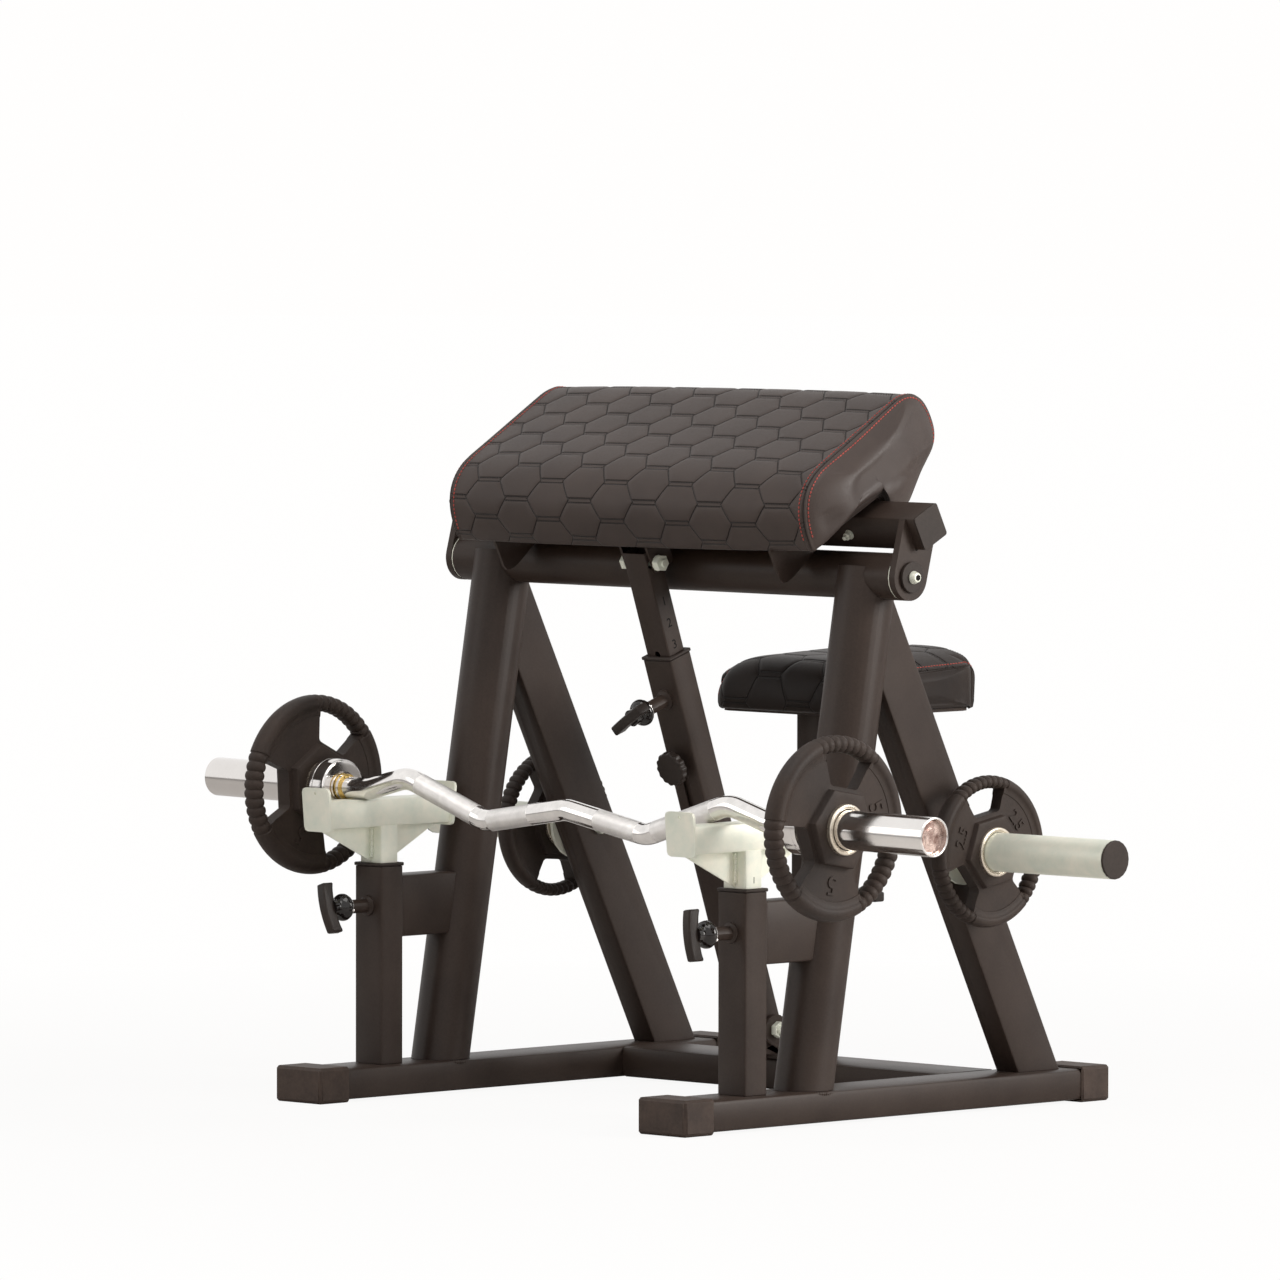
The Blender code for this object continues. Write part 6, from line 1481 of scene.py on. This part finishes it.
lamp("overhead", (0.6, -1.2, 3.4), (0.0, 0.0, 0.4), 2.4, 50.0, (1.0, 0.97, 0.94))
lamp("right side", (3.0, 1.5, 1.5), (0.0, 0.0, 0.5), 1.4, 84.0, (1.0, 0.97, 0.94))
lamp("left side", (-1.6, -3.0, 1.4), (0.0, 0.0, 0.5), 1.6, 8.0, (1.0, 0.98, 0.96))

# %% Floor
def floor_look():
    """White to the camera and pale to the light: shadows show faintly and fade out with distance."""
    g = Graph("floor")
    light_path = g.add("ShaderNodeLightPath")
    distance = g.add("ShaderNodeVectorMath", operation="LENGTH")
    g.link(g.coordinate, distance.inputs[0])
    amount = g.between(distance.outputs["Value"], 0.9, 2.4, 0.93, 1.0)
    glow = g.add("ShaderNodeEmission")
    glow.inputs["Color"].default_value = (1.0, 0.995, 0.99, 1.0)
    matt = g.noise(220.0, 2.0, 0.5)
    g.put(g.shader, Base_Color=tone(240, 238, 236), Roughness=g.between(matt, 0.3, 0.7, 0.7, 0.8),
          Specular_IOR_Level=0.2)
    mix = g.add("ShaderNodeMixShader")
    camera_only = g.maths("MULTIPLY", light_path.outputs["Is Camera Ray"], amount)
    g.link(camera_only, mix.inputs[0])
    g.link(g.shader.outputs[0], mix.inputs[1])
    g.link(glow.outputs[0], mix.inputs[2])
    g.link(mix.outputs[0], g.tree.nodes["Material Output"].inputs["Surface"])
    return g.material


ring_count, side_count = 24, 96
FLOOR_Z = -0.0005            # a hair below the boots
radius = np.geomspace(0.05, 40.0, ring_count)
floor_grid = turned(radius[:, None], np.full(ring_count, FLOOR_Z), side_count)
floor_mesh = bpy.data.meshes.new("floor")
centre_fan = np.stack([np.arange(side_count), (np.arange(side_count) + 1) % side_count,
                       np.full(side_count, ring_count * side_count)], -1)
floor_faces = grid_faces(ring_count, side_count, wrap_columns=True)[:, ::-1].tolist()
floor_points = np.concatenate([floor_grid.reshape(-1, 3), [[0, 0, FLOOR_Z]]]).tolist()
floor_mesh.from_pydata(floor_points, [], floor_faces + centre_fan.tolist())
floor_mesh.materials.append(floor_look())
floor = bpy.data.objects.new("floor", floor_mesh)
scene.collection.objects.link(floor)

# %% Star knob in its place
piece("clamp_knob_star", [moved(star_knob(), knob_place)], "knob", handle_plastic, ("clamp_knob",))

# %% Sizes and finish
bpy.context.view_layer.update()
print("triangles:", sum(triangle_count.values()), "largest:", max(triangle_count, key=triangle_count.get))
